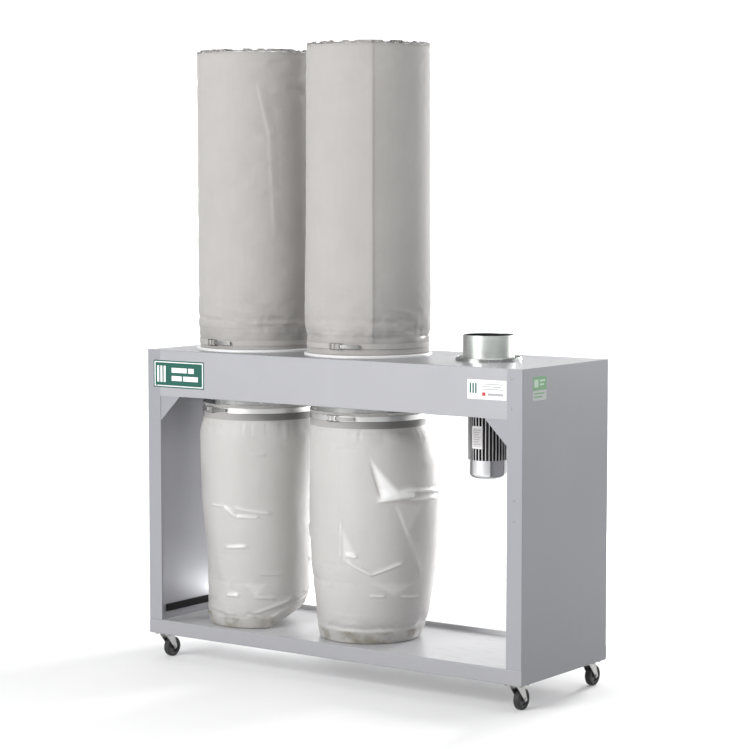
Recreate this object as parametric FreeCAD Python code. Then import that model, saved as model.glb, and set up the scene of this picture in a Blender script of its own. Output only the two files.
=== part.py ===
# Mobile two-bag dust collector for a workshop.
#
# A folded sheet-steel frame on four swivel casters carries a hollow box, the plenum, along its top.
# A motor hangs under the right end of the plenum and turns an impeller inside it. Air comes down the
# inlet spigot, the scroll round the impeller throws it to the left, and it rises into two cloth
# filter bags, while the chips drop into two plastic dust bags below.
#
# Frame: millimetres, +Z up, +X to the motor's end, -Y to the front. The origin is on the floor under
# the middle of the frame.

import FreeCAD, Part

import math
import os

from FreeCAD import Vector

# ---- Frame -------------------------------------------------------------------------------------
frame_width = 1800.0
frame_depth = 620.0
frame_height = 1168.0
sheet = 2.0
bend_radius = 1.5
upright_width = 67.0
upright_return = 10.0
fascia_height = 187.0
fascia_return = 20.0
fascia_tab = 35.0
tray_lip_height = 59.0
tray_lip_fold = 8.0
tray_floor_height = 41.0
tray_return = 20.0
gusset_leg = 100.0
gusset_lap = 20.0
rail_width = 80.0
rail_inset = 50.0
bumper_length = 418.0
bumper_height = 29.0
bumper_thickness = 6.0
bumper_rise = 32.0

# ---- Clearances --------------------------------------------------------------------------------
slip = 0.3
hole_clearance = 0.5
running = 0.05

# ---- Casters -----------------------------------------------------------------------------------
wheel_radius = 40.0
wheel_width = 25.0
tyre_depth = 11.0
tyre_round = 5.0
hub_width = 27.0
axle_radius = 4.0
caster_head = 25.0
caster_inset = 50.0
caster_trail = 32.0
caster_plate = (83.0, 65.0, 2.5)
caster_hole_pitch = (64.0, 46.0)
fork_sheet = 2.5
fork_gap = 1.5
kingpin_radius = 6.0
raceway_radius = 24.0

# ---- Bags, collars and clamp bands -------------------------------------------------------------
left_bag_inset = 335.0
bag_pitch = 550.0
collar_wall = 1.5
filter_collar_radius = 238.0
filter_collar_height = 88.0
filter_collar_tail = 12.0
filter_ring_width = 16.0
filter_ring_height = 10.0
filter_bag_cloth = 3.0
filter_bag_lengths = {"left": 1197.0, "right": 1211.0}
filter_band_rises = {"left": 35.0, "right": 44.0}
dust_collar_radius = 229.5
dust_collar_drop = 92.0
dust_ring_width = 15.0
dust_bag_film = 1.2
dust_band_drop = 53.0
dust_bag_head = 26.0
band_thickness = 1.5
band_height = 20.0

# Each dust bag's outline: how far down it is as a share of its hanging length, its radius, and how
# far its middle swings out to the right-rear.
dust_bag_shapes = {
    "left": (
        (0.00, 231.0, 0.0),
        (0.10, 233.0, -4.0),
        (0.30, 226.0, -12.0),
        (0.55, 219.0, -12.0),
        (0.80, 208.0, -8.0),
        (0.93, 190.0, -14.0),
        (1.00, 150.0, -26.0),
    ),
    "right": (
        (0.00, 231.0, 0.0),
        (0.10, 246.0, 12.0),
        (0.30, 257.0, 24.0),
        (0.55, 256.0, 24.0),
        (0.80, 232.0, 20.0),
        (0.93, 214.0, 16.0),
        (1.00, 198.0, 10.0),
    ),
}
swing_direction = (0.813, 0.582)

# ---- Clamp latches -----------------------------------------------------------------------------
latch_angles = {"left_filter": -98.0, "right_filter": -81.0, "left_dust": -105.0, "right_dust": -86.0}
pivot_height = 7.0
pivot_pin_radius = 1.5
ear_thickness = 1.5
ear_half_length = 4.5
lever_half_height = 7.0
lever_thickness = 2.0
lever_sweep = 19.0
lever_boss_radius = 3.6
lever_tip = 7.0
link_pin = (9.0, -2.5)
bail_wire_radius = 1.25
bail_half_height = 11.5
keeper_distance = 40.5
keeper_thickness = 1.5
keeper_height = 5.5
band_gap = 14.0

# ---- Inlet -------------------------------------------------------------------------------------
fan_inset = 347.0
spigot_radius = 100.0
spigot_wall = 2.0
spigot_height = 98.0
spigot_tail = 44.0
spigot_taper = 3.0
spigot_root_height = 10.0
spigot_root_wall = 0.4
spigot_groove_depth = 0.6
spigot_groove_pitch = 6.0
spigot_groove_count = 3
inlet_ring_radius = 127.5
inlet_ring_rim = 5.0
inlet_ring_height = 14.0
inlet_screw_circle = 112.0
inlet_screw_count = 6

# ---- Fan ---------------------------------------------------------------------------------------
impeller_radius = 160.0
impeller_eye_radius = 92.0
impeller_plate = 2.5
impeller_rise = 20.0
blade_height = 108.0
blade_count = 9
blade_thickness = 2.0
blade_curve = 120.0
scroll_wall = 1.5
scroll_start_gap = 22.0
scroll_side_gap = 10.0
scroll_outlet = 150.0
scroll_tongue = 60.0
hub_radius = 28.0
hub_length = 42.0
hub_lift = 8.0

# ---- Motor -------------------------------------------------------------------------------------
motor_flange_radius = 97.0
motor_flange_thickness = 10.0
motor_bolt_circle = 88.0
motor_bolt_count = 4
motor_length = 185.0
motor_radius = 79.0
motor_core_radius = 68.0
motor_shell = 3.5
motor_floor = 8.0
fin_count = 36
fin_thickness = 3.0
pad_width = 46.0
pad_depth = 10.0
stator_bore = 42.0
core_length = 100.0
core_air_gap = 0.6
shaft_radius = 9.5
shaft_tail_radius = 7.5
bearing_radius = 20.0
bearing_width = 12.0
cover_radius = 73.0
cover_length = 72.0
cover_wall = 1.2
cover_round = 20.0
cover_slot_count = 12
cooling_fan_radius = 62.0
cooling_blade_count = 8
terminal_box_size = (92.0, 46.0, 88.0)
terminal_lid = 5.0
gland_radius = 12.0
gland_length = 24.0

# ---- Label plates and screws -------------------------------------------------------------------
label_thickness = 0.6
front_label = (265.0, 110.0)
rating_label = (170.0, 72.0)
side_label = (95.0, 88.0)
motor_label = (40.0, 74.0)
screw_radius = 2.0
screw_head_radius = 4.5
screw_head_height = 2.2
bolt_radius = 4.0
bolt_head_radius = 7.5
bolt_head_height = 5.3

# ---- Places that follow from the sizes ---------------------------------------------------------
half_width = frame_width / 2
half_depth = frame_depth / 2
base_z = 2 * wheel_radius + caster_head
lip_top = base_z + tray_lip_height
tray_top = base_z + tray_floor_height
frame_top = base_z + frame_height
plate_under = frame_top - sheet
fascia_bottom = frame_top - fascia_height
floor_under = fascia_bottom + sheet
floor_top = floor_under + sheet
bag_x = {"left": -half_width + left_bag_inset}
bag_x["right"] = bag_x["left"] + bag_pitch
fan_x = half_width - fan_inset
inner_x = half_width - upright_width
sides = {"left": -1, "right": 1}
casters = {
    "front_left": (-1, -1),
    "front_right": (1, -1),
    "rear_left": (-1, 1),
    "rear_right": (1, 1),
}


# ---- Shape helpers -----------------------------------------------------------------------------
def block(x0, x1, y0, y1, z0, z1):
    """A box between three pairs of limits, given in any order."""
    low = Vector(min(x0, x1), min(y0, y1), min(z0, z1))
    return Part.makeBox(abs(x1 - x0), abs(y1 - y0), abs(z1 - z0), low)


def disc(x, y, z0, z1, radius):
    """An upright cylinder."""
    return Part.makeCylinder(radius, z1 - z0, Vector(x, y, z0))


def tube(x, y, z0, z1, outer, inner):
    """An upright tube, with its bore cut past both ends."""
    return disc(x, y, z0, z1, outer).cut(disc(x, y, z0 - 1, z1 + 1, inner))


def fuse(shapes):
    """One solid from several that touch or overlap, with no leftover seams."""
    return shapes[0].multiFuse(shapes[1:]).removeSplitter()


def cut_all(shape, tools):
    """The shape less every tool."""
    return shape.cut(Part.makeCompound(tools)) if tools else shape


def polygon_face(points):
    """A flat face from a closed list of 3-D points."""
    return Part.Face(Part.makePolygon([Vector(*p) for p in points + [points[0]]]))


def turned(profile, x, y):
    """A solid of revolution about an upright axis, from (radius, height) corners."""
    face = polygon_face([(x + r, y, z) for r, z in profile])
    return face.revolve(Vector(x, y, 0), Vector(0, 0, 1), 360)


def mirrored_y(shape):
    """The same shape at the back of the frame."""
    return shape.mirror(Vector(0, 0, 0), Vector(0, 1, 0))


def mirrored_x(shape):
    """The same shape at the other end of the frame."""
    return shape.mirror(Vector(0, 0, 0), Vector(1, 0, 0))


def offset_path(points, distance):
    """The path moved to its right by a distance, with its corners kept square."""
    moved = []
    for i, (x, y) in enumerate(points):
        normals = []
        for a, b in ((i - 1, i), (i, i + 1)):
            if a < 0 or b >= len(points):
                continue
            dx = points[b][0] - points[a][0]
            dy = points[b][1] - points[a][1]
            length = math.hypot(dx, dy)
            normals.append((dy / length, -dx / length))
        nx = sum(n[0] for n in normals)
        ny = sum(n[1] for n in normals)
        scale = distance * 2 / (nx * nx + ny * ny) if len(normals) == 2 else distance
        moved.append((x + nx * scale, y + ny * scale))
    return moved


def rounded_path(points, radii):
    """Edges along a path whose corners are rounded; points are (a, b) pairs in the sketch plane."""
    edges = []
    at = Vector(points[0][0], points[0][1], 0)
    for i in range(1, len(points) - 1):
        corner = Vector(points[i][0], points[i][1], 0)
        before = (Vector(points[i - 1][0], points[i - 1][1], 0) - corner).normalize()
        after = (Vector(points[i + 1][0], points[i + 1][1], 0) - corner).normalize()
        half = before.getAngle(after) / 2
        reach = radii[i] / math.tan(half)
        start = corner + before * reach
        end = corner + after * reach
        bisector = (before + after).normalize()
        middle = corner + bisector * (radii[i] / math.sin(half) - radii[i])
        edges.append(Part.LineSegment(at, start).toShape())
        edges.append(Part.Arc(start, middle, end).toShape())
        at = end
    last = Vector(points[-1][0], points[-1][1], 0)
    edges.append(Part.LineSegment(at, last).toShape())
    return edges


def bent_sheet(points, thickness, length):
    """A sheet folded along a path, lying to the path's right, and drawn out along +Z by a length."""
    far = offset_path(points, thickness)
    near_radii = [0.0] * len(points)
    far_radii = [0.0] * len(points)
    for i in range(1, len(points) - 1):
        ax, ay = points[i][0] - points[i - 1][0], points[i][1] - points[i - 1][1]
        bx, by = points[i + 1][0] - points[i][0], points[i + 1][1] - points[i][1]
        turns_right = ax * by - ay * bx < 0
        near_radii[i] = bend_radius + (thickness if turns_right else 0)
        far_radii[i] = bend_radius + (0 if turns_right else thickness)
    ends = [
        Part.LineSegment(Vector(*near, 0), Vector(*away, 0)).toShape()
        for near, away in ((points[0], far[0]), (points[-1], far[-1]))
    ]
    edges = rounded_path(points, near_radii) + rounded_path(far, far_radii) + ends
    wire = Part.Wire(Part.__sortEdges__(edges))
    return Part.Face(wire).extrude(Vector(0, 0, length))


def along_x(shape, start):
    """Turns a sketch in (y, z) that was drawn out along +Z so that it runs along +X from a start."""
    turned_shape = shape.copy()
    turned_shape.rotate(Vector(0, 0, 0), Vector(1, 1, 1), 120)
    turned_shape.translate(Vector(start, 0, 0))
    return turned_shape


def hex_prism(x, y, z0, z1, radius):
    """A hexagon bolt head, standing upright."""
    corners = [
        (x + radius * math.cos(math.radians(60 * k)), y + radius * math.sin(math.radians(60 * k)), z0)
        for k in range(6)
    ]
    return polygon_face(corners).extrude(Vector(0, 0, z1 - z0))


def polar(x, y, radius, degrees):
    """A point on a circle about an upright axis."""
    angle = math.radians(degrees)
    return x + radius * math.cos(angle), y + radius * math.sin(angle)


def on_circle(x, y, radius, count, start=0.0):
    """Points evenly spaced on a circle."""
    return [polar(x, y, radius, start + 360.0 * k / count) for k in range(count)]


# ---- Where the fasteners go --------------------------------------------------------------------
fascia_screw_heights = (frame_top - 38.0, fascia_bottom + 40.0)
fascia_screw_x = inner_x + fascia_tab / 2
panel_screw_heights = (base_z + 686.0 / 1168.0 * frame_height, base_z + 607.0 / 1168.0 * frame_height)
panel_screw_x = inner_x + upright_width / 2 - 3.0
motor_bolts_at = on_circle(fan_x, 0, motor_bolt_circle, motor_bolt_count, 45.0)
inlet_screws_at = on_circle(fan_x, 0, inlet_screw_circle, inlet_screw_count, 30.0)


def caster_centre(corner):
    """The swivel axis of a caster, by the signs of its corner."""
    return corner[0] * (half_width - caster_inset), corner[1] * (half_depth - caster_inset)


def caster_bolt_places():
    """Every caster bolt's place."""
    places = []
    for corner in casters.values():
        cx, cy = caster_centre(corner)
        for sx in (-1, 1):
            for sy in (-1, 1):
                places.append((cx + sx * caster_hole_pitch[0] / 2, cy + sy * caster_hole_pitch[1] / 2))
    return places


def front_screw_places():
    """Each front or rear panel screw as (x, z, side), where side is -1 at the front."""
    places = []
    for side in (-1, 1):
        for end in (-1, 1):
            places += [(end * fascia_screw_x, z, side) for z in fascia_screw_heights]
        places += [(panel_screw_x, z, side) for z in panel_screw_heights]
    return places


def screw_hole(x, z, side):
    """A clearance hole through a front or rear sheet."""
    start = Vector(x, side * (half_depth + 5), z)
    return Part.makeCylinder(screw_radius + hole_clearance, 20, start, Vector(0, -side, 0))


# ---- Frame pieces ------------------------------------------------------------------------------
def side_panel(end):
    """A side sheet folded into uprights at the front and back; its middle runs down past the tray."""
    outline = [
        (inner_x, half_depth),
        (half_width, half_depth),
        (half_width, -half_depth),
        (inner_x, -half_depth),
    ]
    folded = bent_sheet(outline, sheet, plate_under - lip_top)
    folded.translate(Vector(0, 0, lip_top))
    web_end = half_depth - sheet - bend_radius
    skirt = block(half_width - sheet, half_width, -web_end, web_end, base_z, lip_top)
    return_top = fascia_bottom - gusset_leg - gusset_lap - 2
    returns = [
        block(inner_x, inner_x + sheet, side * (half_depth - sheet / 2),
              side * (half_depth - upright_return), lip_top, return_top)
        for side in (-1, 1)
    ]
    panel = fuse([folded, skirt] + returns)
    if end == "left":
        panel = mirrored_x(panel)
    return cut_all(panel, [screw_hole(*p) for p in front_screw_places()])


def top_plate():
    """The plenum's lid, with round holes for the two filter collars and the inlet."""
    plate = block(-half_width, half_width, -half_depth, half_depth, plate_under, frame_top)
    top_edges = [e for e in plate.Edges if e.BoundBox.ZMin > frame_top - 0.01]
    plate = plate.makeFillet(min(1.2, sheet * 0.6), top_edges)
    holes = [
        disc(x, 0, plate_under - 1, frame_top + 1, filter_collar_radius + hole_clearance)
        for x in bag_x.values()
    ]
    holes.append(disc(fan_x, 0, plate_under - 1, frame_top + 1, spigot_radius + hole_clearance))
    holes += [disc(x, y, plate_under - 1, frame_top + 1, screw_radius + hole_clearance)
              for x, y in inlet_screws_at]
    return cut_all(plate, holes)


def fascia(side):
    """The plenum's front or rear wall: a sheet between the uprights with a shelf for the floor."""
    shelf_half = inner_x - gusset_leg - gusset_lap - 5
    outline = [
        (-half_depth + fascia_return, fascia_bottom),
        (-half_depth, fascia_bottom),
        (-half_depth, plate_under),
    ]
    folded = along_x(bent_sheet(outline, sheet, 2 * shelf_half), -shelf_half)
    wings = [
        block(end * shelf_half, end * inner_x, -half_depth, -half_depth + sheet, fascia_bottom, plate_under)
        for end in (-1, 1)
    ]
    tab_low = fascia_bottom + gusset_lap + 4
    tabs = [
        block(end * (inner_x - gusset_lap), end * (inner_x + fascia_tab),
              -half_depth + sheet, -half_depth + 2 * sheet, tab_low, plate_under - 6)
        for end in (-1, 1)
    ]
    wall = fuse([folded] + wings + tabs)
    if side > 0:
        wall = mirrored_y(wall)
    return cut_all(wall, [screw_hole(*p) for p in front_screw_places()])


def plenum_floor():
    """The plenum's floor, on the fascias' shelves, with holes for the dust collars and the motor."""
    reach_y = half_depth - 2 * sheet
    reach_x = half_width - sheet
    plate = block(-reach_x, reach_x, -reach_y, reach_y, floor_under, floor_top)
    holes = [
        disc(x, 0, floor_under - 1, floor_top + 1, dust_collar_radius + hole_clearance)
        for x in bag_x.values()
    ]
    holes.append(disc(fan_x, 0, floor_under - 1, floor_top + 1, hub_radius + 4))
    holes += [disc(x, y, floor_under - 1, floor_top + 1, bolt_radius + hole_clearance)
              for x, y in motor_bolts_at]
    return cut_all(plate, holes)


def base_tray():
    """The base: one folded sheet with a raised lip along the front and the back."""
    lip_in = half_depth - tray_lip_fold
    outline = [
        (-half_depth + tray_return, base_z),
        (-half_depth, base_z),
        (-half_depth, lip_top),
        (-lip_in, lip_top),
        (-lip_in, tray_top),
        (lip_in, tray_top),
        (lip_in, lip_top),
        (half_depth, lip_top),
        (half_depth, base_z),
        (half_depth - tray_return, base_z),
    ]
    reach = half_width - sheet
    folded = along_x(bent_sheet(outline, sheet, 2 * reach), -reach)
    round_over = sheet + bend_radius
    ends = [
        block(end * reach, end * half_width, side * (half_depth - sheet), side * half_depth,
              base_z + round_over, lip_top - round_over)
        for end in (-1, 1)
        for side in (-1, 1)
    ]
    return fuse([folded] + ends)


def base_rails():
    """The two tubes under the tray that the casters are bolted to."""
    rails = []
    reach = half_depth - tray_return - 1
    for end in (-1, 1):
        middle = end * (half_width - rail_inset)
        x0, x1 = middle - rail_width / 2, middle + rail_width / 2
        outer = block(x0, x1, -reach, reach, base_z, tray_top - sheet)
        inner = block(x0 + sheet, x1 - sheet, -reach - 1, reach + 1, base_z + sheet, tray_top - 2 * sheet)
        holes = [disc(x, y, base_z - 1, base_z + sheet + 1, bolt_radius + hole_clearance)
                 for x, y in caster_bolt_places() if abs(x - middle) < rail_width / 2]
        rails.append(cut_all(outer.cut(inner), holes))
    return rails


def corner_gussets():
    """Four slanting plates that stiffen the corners between the uprights and the fascias."""
    gussets = []
    reach = gusset_leg + gusset_lap
    top = fascia_bottom + gusset_lap
    for end in (-1, 1):
        for side in (-1, 1):
            x0 = end * (inner_x + gusset_lap)
            x1 = end * (inner_x - reach)
            y0 = side * (half_depth - 2 * sheet)
            face = polygon_face([(x0, y0, top), (x1, y0, top), (x0, y0, fascia_bottom - reach)])
            gussets.append(face.extrude(Vector(0, side * sheet, 0)))
    return gussets


def bumper_strips():
    """Rubber strips inside both side panels, which keep a full dust bag off the steel."""
    z0 = tray_top + bumper_rise
    half = bumper_length / 2
    return [
        block(end * (half_width - sheet), end * (half_width - sheet - bumper_thickness),
              -half, half, z0, z0 + bumper_height)
        for end in (-1, 1)
    ]


def label_plates():
    """Thin plates on the front, on the right-hand side and on the motor's pad."""
    front = -half_depth
    x0 = -inner_x + 0.5
    z0 = frame_top - 41.5 - front_label[1]
    plates = [block(x0, x0 + front_label[0], front - label_thickness, front, z0, z0 + front_label[1])]
    x1 = inner_x - 38.0
    z1 = frame_top - 46.0
    plates.append(block(x1 - rating_label[0], x1, front - label_thickness, front, z1 - rating_label[1], z1))
    y0 = -half_depth + 69.0
    z2 = frame_top - 33.0
    plates.append(block(half_width, half_width + label_thickness, y0, y0 + side_label[0],
                        z2 - side_label[1], z2))
    pad_front = -(motor_core_radius + pad_depth)
    z3 = motor_label_top()
    plates.append(block(fan_x - motor_label[0] / 2, fan_x + motor_label[0] / 2,
                        pad_front - label_thickness, pad_front, z3 - motor_label[1], z3))
    return plates


# ---- Casters -----------------------------------------------------------------------------------
def caster_top_plate(corner):
    """A caster's bolted plate with its kingpin, which the fork turns on."""
    cx, cy = caster_centre(corner)
    length, width, thick = caster_plate
    top = base_z
    plate = block(cx - length / 2, cx + length / 2, cy - width / 2, cy + width / 2, top - thick, top)
    corners = [e for e in plate.Edges if abs(e.tangentAt(e.FirstParameter).z) > 0.9]
    plate = plate.makeFillet(8.0, corners)
    holes = [disc(x, y, top - thick - 1, top + 1, bolt_radius + hole_clearance)
             for x, y in caster_bolt_places()]
    head_top = top - thick - fork_gap - fork_sheet - slip
    pin = disc(cx, cy, head_top - 3, top - thick, kingpin_radius)
    head = disc(cx, cy, head_top - 3, head_top, kingpin_radius + 4)
    lift = slip
    race = tube(cx, cy, top - thick - fork_gap + lift, top - thick, raceway_radius, kingpin_radius)
    return fuse([cut_all(plate, holes), pin, head, race])


def caster_fork(corner):
    """A pressed fork: a round head under the plate and two legs that sweep back to the axle."""
    cx, cy = caster_centre(corner)
    top = base_z - caster_plate[2] - fork_gap
    gap = wheel_width / 2 + 3
    outer = gap + fork_sheet
    axle_y = cy + caster_trail
    foot = axle_radius + 7
    shoulder = top - 6
    legs = []
    for side in (-1, 1):
        x0 = cx + side * gap
        outline = [
            (x0, cy - raceway_radius, top),
            (x0, cy + raceway_radius, top),
            (x0, cy + raceway_radius, shoulder),
            (x0, axle_y + foot, wheel_radius + 2),
            (x0, axle_y, wheel_radius - foot),
            (x0, axle_y - foot, wheel_radius + 2),
            (x0, cy - raceway_radius, shoulder),
        ]
        leg = polygon_face(outline).extrude(Vector(side * fork_sheet, 0, 0))
        legs.append(leg)
    crown = block(cx - outer, cx + outer, cy - raceway_radius, cy + raceway_radius, top - fork_sheet, top)
    fork = fuse([crown] + legs)
    bores = [
        disc(cx, cy, top - fork_sheet - 1, top + 1, kingpin_radius + running),
        Part.makeCylinder(axle_radius + running, 4 * outer, Vector(cx - 2 * outer, axle_y, wheel_radius),
                          Vector(1, 0, 0)),
    ]
    fork = cut_all(fork, bores)
    axle_half = outer + 1.0
    axle = Part.makeCylinder(axle_radius, 2 * axle_half, Vector(cx - axle_half, axle_y, wheel_radius),
                             Vector(1, 0, 0))
    heads = [
        Part.makeCylinder(axle_radius + 2.5, 3.0, Vector(cx + side * outer, axle_y, wheel_radius),
                          Vector(side, 0, 0))
        for side in (-1, 1)
    ]
    return [fork, fuse([axle] + heads)]


def wheel_turned(corner, profile):
    """A wheel part turned about its axle, from (radius, distance from the middle) corners."""
    cx, cy = caster_centre(corner)
    centre = Vector(cx, cy + caster_trail, wheel_radius)
    face = polygon_face([(centre.x + s, centre.y, centre.z + r) for r, s in profile])
    return face.revolve(centre, Vector(1, 0, 0), 360)


def caster_tyre(corner):
    """The rubber tyre, with rounded shoulders."""
    inner = wheel_radius - tyre_depth
    half = wheel_width / 2
    ring = wheel_turned(corner, [(inner, -half), (wheel_radius, -half), (wheel_radius, half), (inner, half)])
    shoulders = [e for e in ring.Edges if isinstance(e.Curve, Part.Circle)
                 and abs(e.Curve.Radius - wheel_radius) < 0.01]
    return ring.makeFillet(min(tyre_round, tyre_depth * 0.45), shoulders)


def caster_hub(corner):
    """The moulded wheel centre: a rim, a thinner web and a boss for the axle."""
    rim = wheel_radius - tyre_depth - running
    half = wheel_width / 2 - 1.5
    boss = axle_radius + 6
    web = half * 0.45
    bore = axle_radius + running
    profile = [
        (bore, -hub_width / 2), (boss, -hub_width / 2), (boss, -web), (rim - 4, -web), (rim - 4, -half),
        (rim, -half), (rim, half), (rim - 4, half), (rim - 4, web), (boss, web), (boss, hub_width / 2),
        (bore, hub_width / 2),
    ]
    return wheel_turned(corner, profile)


# ---- Bags --------------------------------------------------------------------------------------
def filter_collar(name):
    """A spun ring on the top plate with a short tube that the cloth bag is strapped to."""
    x = bag_x[name]
    outer = filter_collar_radius
    top = frame_top + filter_collar_height
    body = tube(x, 0, frame_top - filter_collar_tail, top, outer, outer - collar_wall)
    rim = tube(x, 0, frame_top, frame_top + filter_ring_height, outer + filter_ring_width, outer - 0.2)
    rim_edges = [e for e in rim.Edges if isinstance(e.Curve, Part.Circle)
                 and e.Curve.Radius > outer + 1 and e.BoundBox.ZMin > frame_top + 0.1]
    rim = rim.makeFillet(filter_ring_height * 0.45, rim_edges)
    return fuse([body, rim])


def filter_bag(name):
    """The cloth bag as a closed sleeve over its collar, open at the bottom."""
    x = bag_x[name]
    inner = filter_collar_radius + slip
    outer = inner + filter_bag_cloth
    z0 = frame_top + filter_ring_height + slip
    top = z0 + filter_bag_lengths[name]
    round_over = 6.0
    profile = [
        (inner, z0), (outer, z0), (outer, top - round_over), (outer - round_over, top), (0, top),
        (0, top - filter_bag_cloth), (inner, top - filter_bag_cloth),
    ]
    return turned(profile, x, 0)


def dust_collar(name):
    """A ring that drops through the plenum's floor, which the dust bag is strapped to."""
    x = bag_x[name]
    outer = dust_collar_radius
    low = floor_under - dust_collar_drop
    body = tube(x, 0, low, floor_top + collar_wall, outer, outer - collar_wall)
    flange = tube(x, 0, floor_top, floor_top + collar_wall, outer + dust_ring_width, outer - 0.2)
    return fuse([body, flange])


def dust_bag_levels(name):
    """The bag's circles from its strap down to the tray, as (x, y, z, radius)."""
    top = floor_under - dust_collar_drop
    low = tray_top + slip
    neck = dust_collar_radius + slip + dust_bag_film
    levels = []
    for share, radius, swing in dust_bag_shapes[name]:
        grown = radius + neck - dust_bag_shapes[name][0][1]
        levels.append((bag_x[name] + swing * swing_direction[0], swing * swing_direction[1],
                       top - share * (top - low), grown))
    return levels


def dust_bag(name):
    """The film bag: a straight neck over its collar and a slack body that stands on the tray."""
    def skin(inset):
        circles = [
            Part.Wire(Part.Circle(Vector(x, y, z), Vector(0, 0, 1), radius - inset).toShape())
            for x, y, z, radius in dust_bag_levels(name)
        ]
        return Part.makeLoft(circles, True, False)

    neck_low = floor_under - dust_collar_drop
    neck_top = floor_under - dust_band_drop + dust_bag_head
    neck_radius = dust_collar_radius + slip
    body = skin(0).cut(skin(dust_bag_film))
    levels = dust_bag_levels(name)
    low_x, low_y, low_z, low_radius = levels[-1]
    bottom = disc(low_x, low_y, low_z, low_z + dust_bag_film, low_radius - dust_bag_film / 2)
    neck = tube(bag_x[name], 0, neck_low, neck_top, neck_radius + dust_bag_film, neck_radius)
    return fuse([body, bottom, neck])


# ---- Clamp bands and their latches -------------------------------------------------------------
def clamp(name):
    """A clamp's axis x, the radius of its band's outside, and the height of its middle."""
    side, kind = name.split("_")
    if kind == "filter":
        inner = filter_collar_radius + slip + filter_bag_cloth + slip
        middle = frame_top + filter_band_rises[side]
    else:
        inner = dust_collar_radius + slip + dust_bag_film + slip
        middle = floor_under - dust_band_drop
    return bag_x[side], inner + band_thickness, middle


def place_latch(shape, name):
    """Moves a latch part from its own frame, whose +X is along the band and +Y is outward from the
    pivot, to the clamp. The pivot is the latch frame's origin."""
    x, radius, middle = clamp(name)
    angle = latch_angles[name]
    moved = shape.copy()
    moved.rotate(Vector(0, 0, 0), Vector(0, 0, 1), angle + 90)
    px, py = polar(x, 0, radius + pivot_height, angle)
    moved.translate(Vector(px, py, middle))
    return moved


def outward(y):
    """A distance outward, in the latch frame, where outward is -Y before the latch is placed."""
    return -y


def clamp_band(name):
    """The split steel band with its pivot bracket and pin at one end and its keeper at the other."""
    x, radius, middle = clamp(name)
    low, high = middle - band_height / 2, middle + band_height / 2
    band = tube(x, 0, low, high, radius, radius - band_thickness)
    gap_at = -keeper_distance / 2
    gap = block(gap_at - band_gap / 2, gap_at + band_gap / 2, outward(-pivot_height - 8),
                outward(2), -band_height, band_height)
    band = band.cut(place_latch(gap, name))
    base = outward(-pivot_height - band_thickness * 0.8)
    ear_low = lever_half_height + slip
    parts = [band]
    for side in (-1, 1):
        ear = block(-ear_half_length, ear_half_length, base, outward(3.2),
                    side * ear_low, side * (ear_low + ear_thickness))
        parts.append(place_latch(ear, name))
    pin_half = ear_low + ear_thickness
    pin = Part.makeCylinder(pivot_pin_radius, 2 * pin_half, Vector(0, 0, -pin_half))
    parts.append(place_latch(pin, name))
    sink = radius - math.sqrt(radius ** 2 - keeper_distance ** 2)
    lug = block(-keeper_distance, -keeper_distance - keeper_thickness,
                outward(-pivot_height - sink - band_thickness * 0.8),
                outward(-pivot_height - sink + keeper_height), -lever_half_height, lever_half_height)
    parts.append(place_latch(lug, name))
    return fuse(parts)


def latch_lever(name):
    """The latch's handle: a strip curved like the band, with bosses for its pivot and its link."""
    radius = clamp(name)[1] + pivot_height
    half = lever_half_height
    strip = tube(0, radius, -half, half, radius + lever_thickness / 2, radius - lever_thickness / 2)
    wedge = Part.makeCylinder(radius + 20, 2 * half, Vector(0, radius, -half), Vector(0, 0, 1), lever_sweep)
    wedge.rotate(Vector(0, radius, 0), Vector(0, 0, 1), -90)
    strip = strip.common(wedge)
    end = math.radians(lever_sweep)
    tip_x = radius * math.sin(end)
    tip_y = radius - radius * math.cos(end)
    tip = block(0, lever_thickness, 0, outward(lever_tip), -half, half)
    tip.translate(Vector(-lever_thickness, lever_thickness / 2, 0))
    tip.rotate(Vector(0, 0, 0), Vector(0, 0, 1), lever_sweep)
    tip.translate(Vector(tip_x, tip_y, 0))
    link_x, link_y = link_pin[0], outward(link_pin[1])
    bosses = [
        Part.makeCylinder(lever_boss_radius, 2 * half, Vector(0, 0, -half)),
        Part.makeCylinder(bail_wire_radius + 1.6, 2 * half, Vector(link_x, link_y, -half)),
    ]
    web = block(link_x - 1.2, link_x + 1.2, 0, link_y, -half, half)
    bores = [
        Part.makeCylinder(pivot_pin_radius + running, 4 * half, Vector(0, 0, -2 * half)),
        Part.makeCylinder(bail_wire_radius + running, 4 * half, Vector(link_x, link_y, -2 * half)),
    ]
    return place_latch(cut_all(fuse([strip, tip, web] + bosses), bores), name)


def latch_bail(name):
    """The wire loop from the lever's link to behind the keeper."""
    radius = clamp(name)[1]
    sink = radius - math.sqrt(radius ** 2 - keeper_distance ** 2)
    near = Vector(link_pin[0], outward(link_pin[1]), 0)
    far_x = -keeper_distance - keeper_thickness - 0.5 - bail_wire_radius
    far = Vector(far_x, outward(-pivot_height - sink + keeper_height * 0.55), 0)
    up = Vector(0, 0, bail_half_height)
    corners = [near - up, near + up, far + up, far - up]
    wires = []
    for k, start in enumerate(corners):
        end = corners[(k + 1) % 4]
        wires.append(Part.makeCylinder(bail_wire_radius, (end - start).Length, start, end - start))
        wires.append(Part.makeSphere(bail_wire_radius, start))
    return place_latch(fuse(wires), name)


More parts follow.
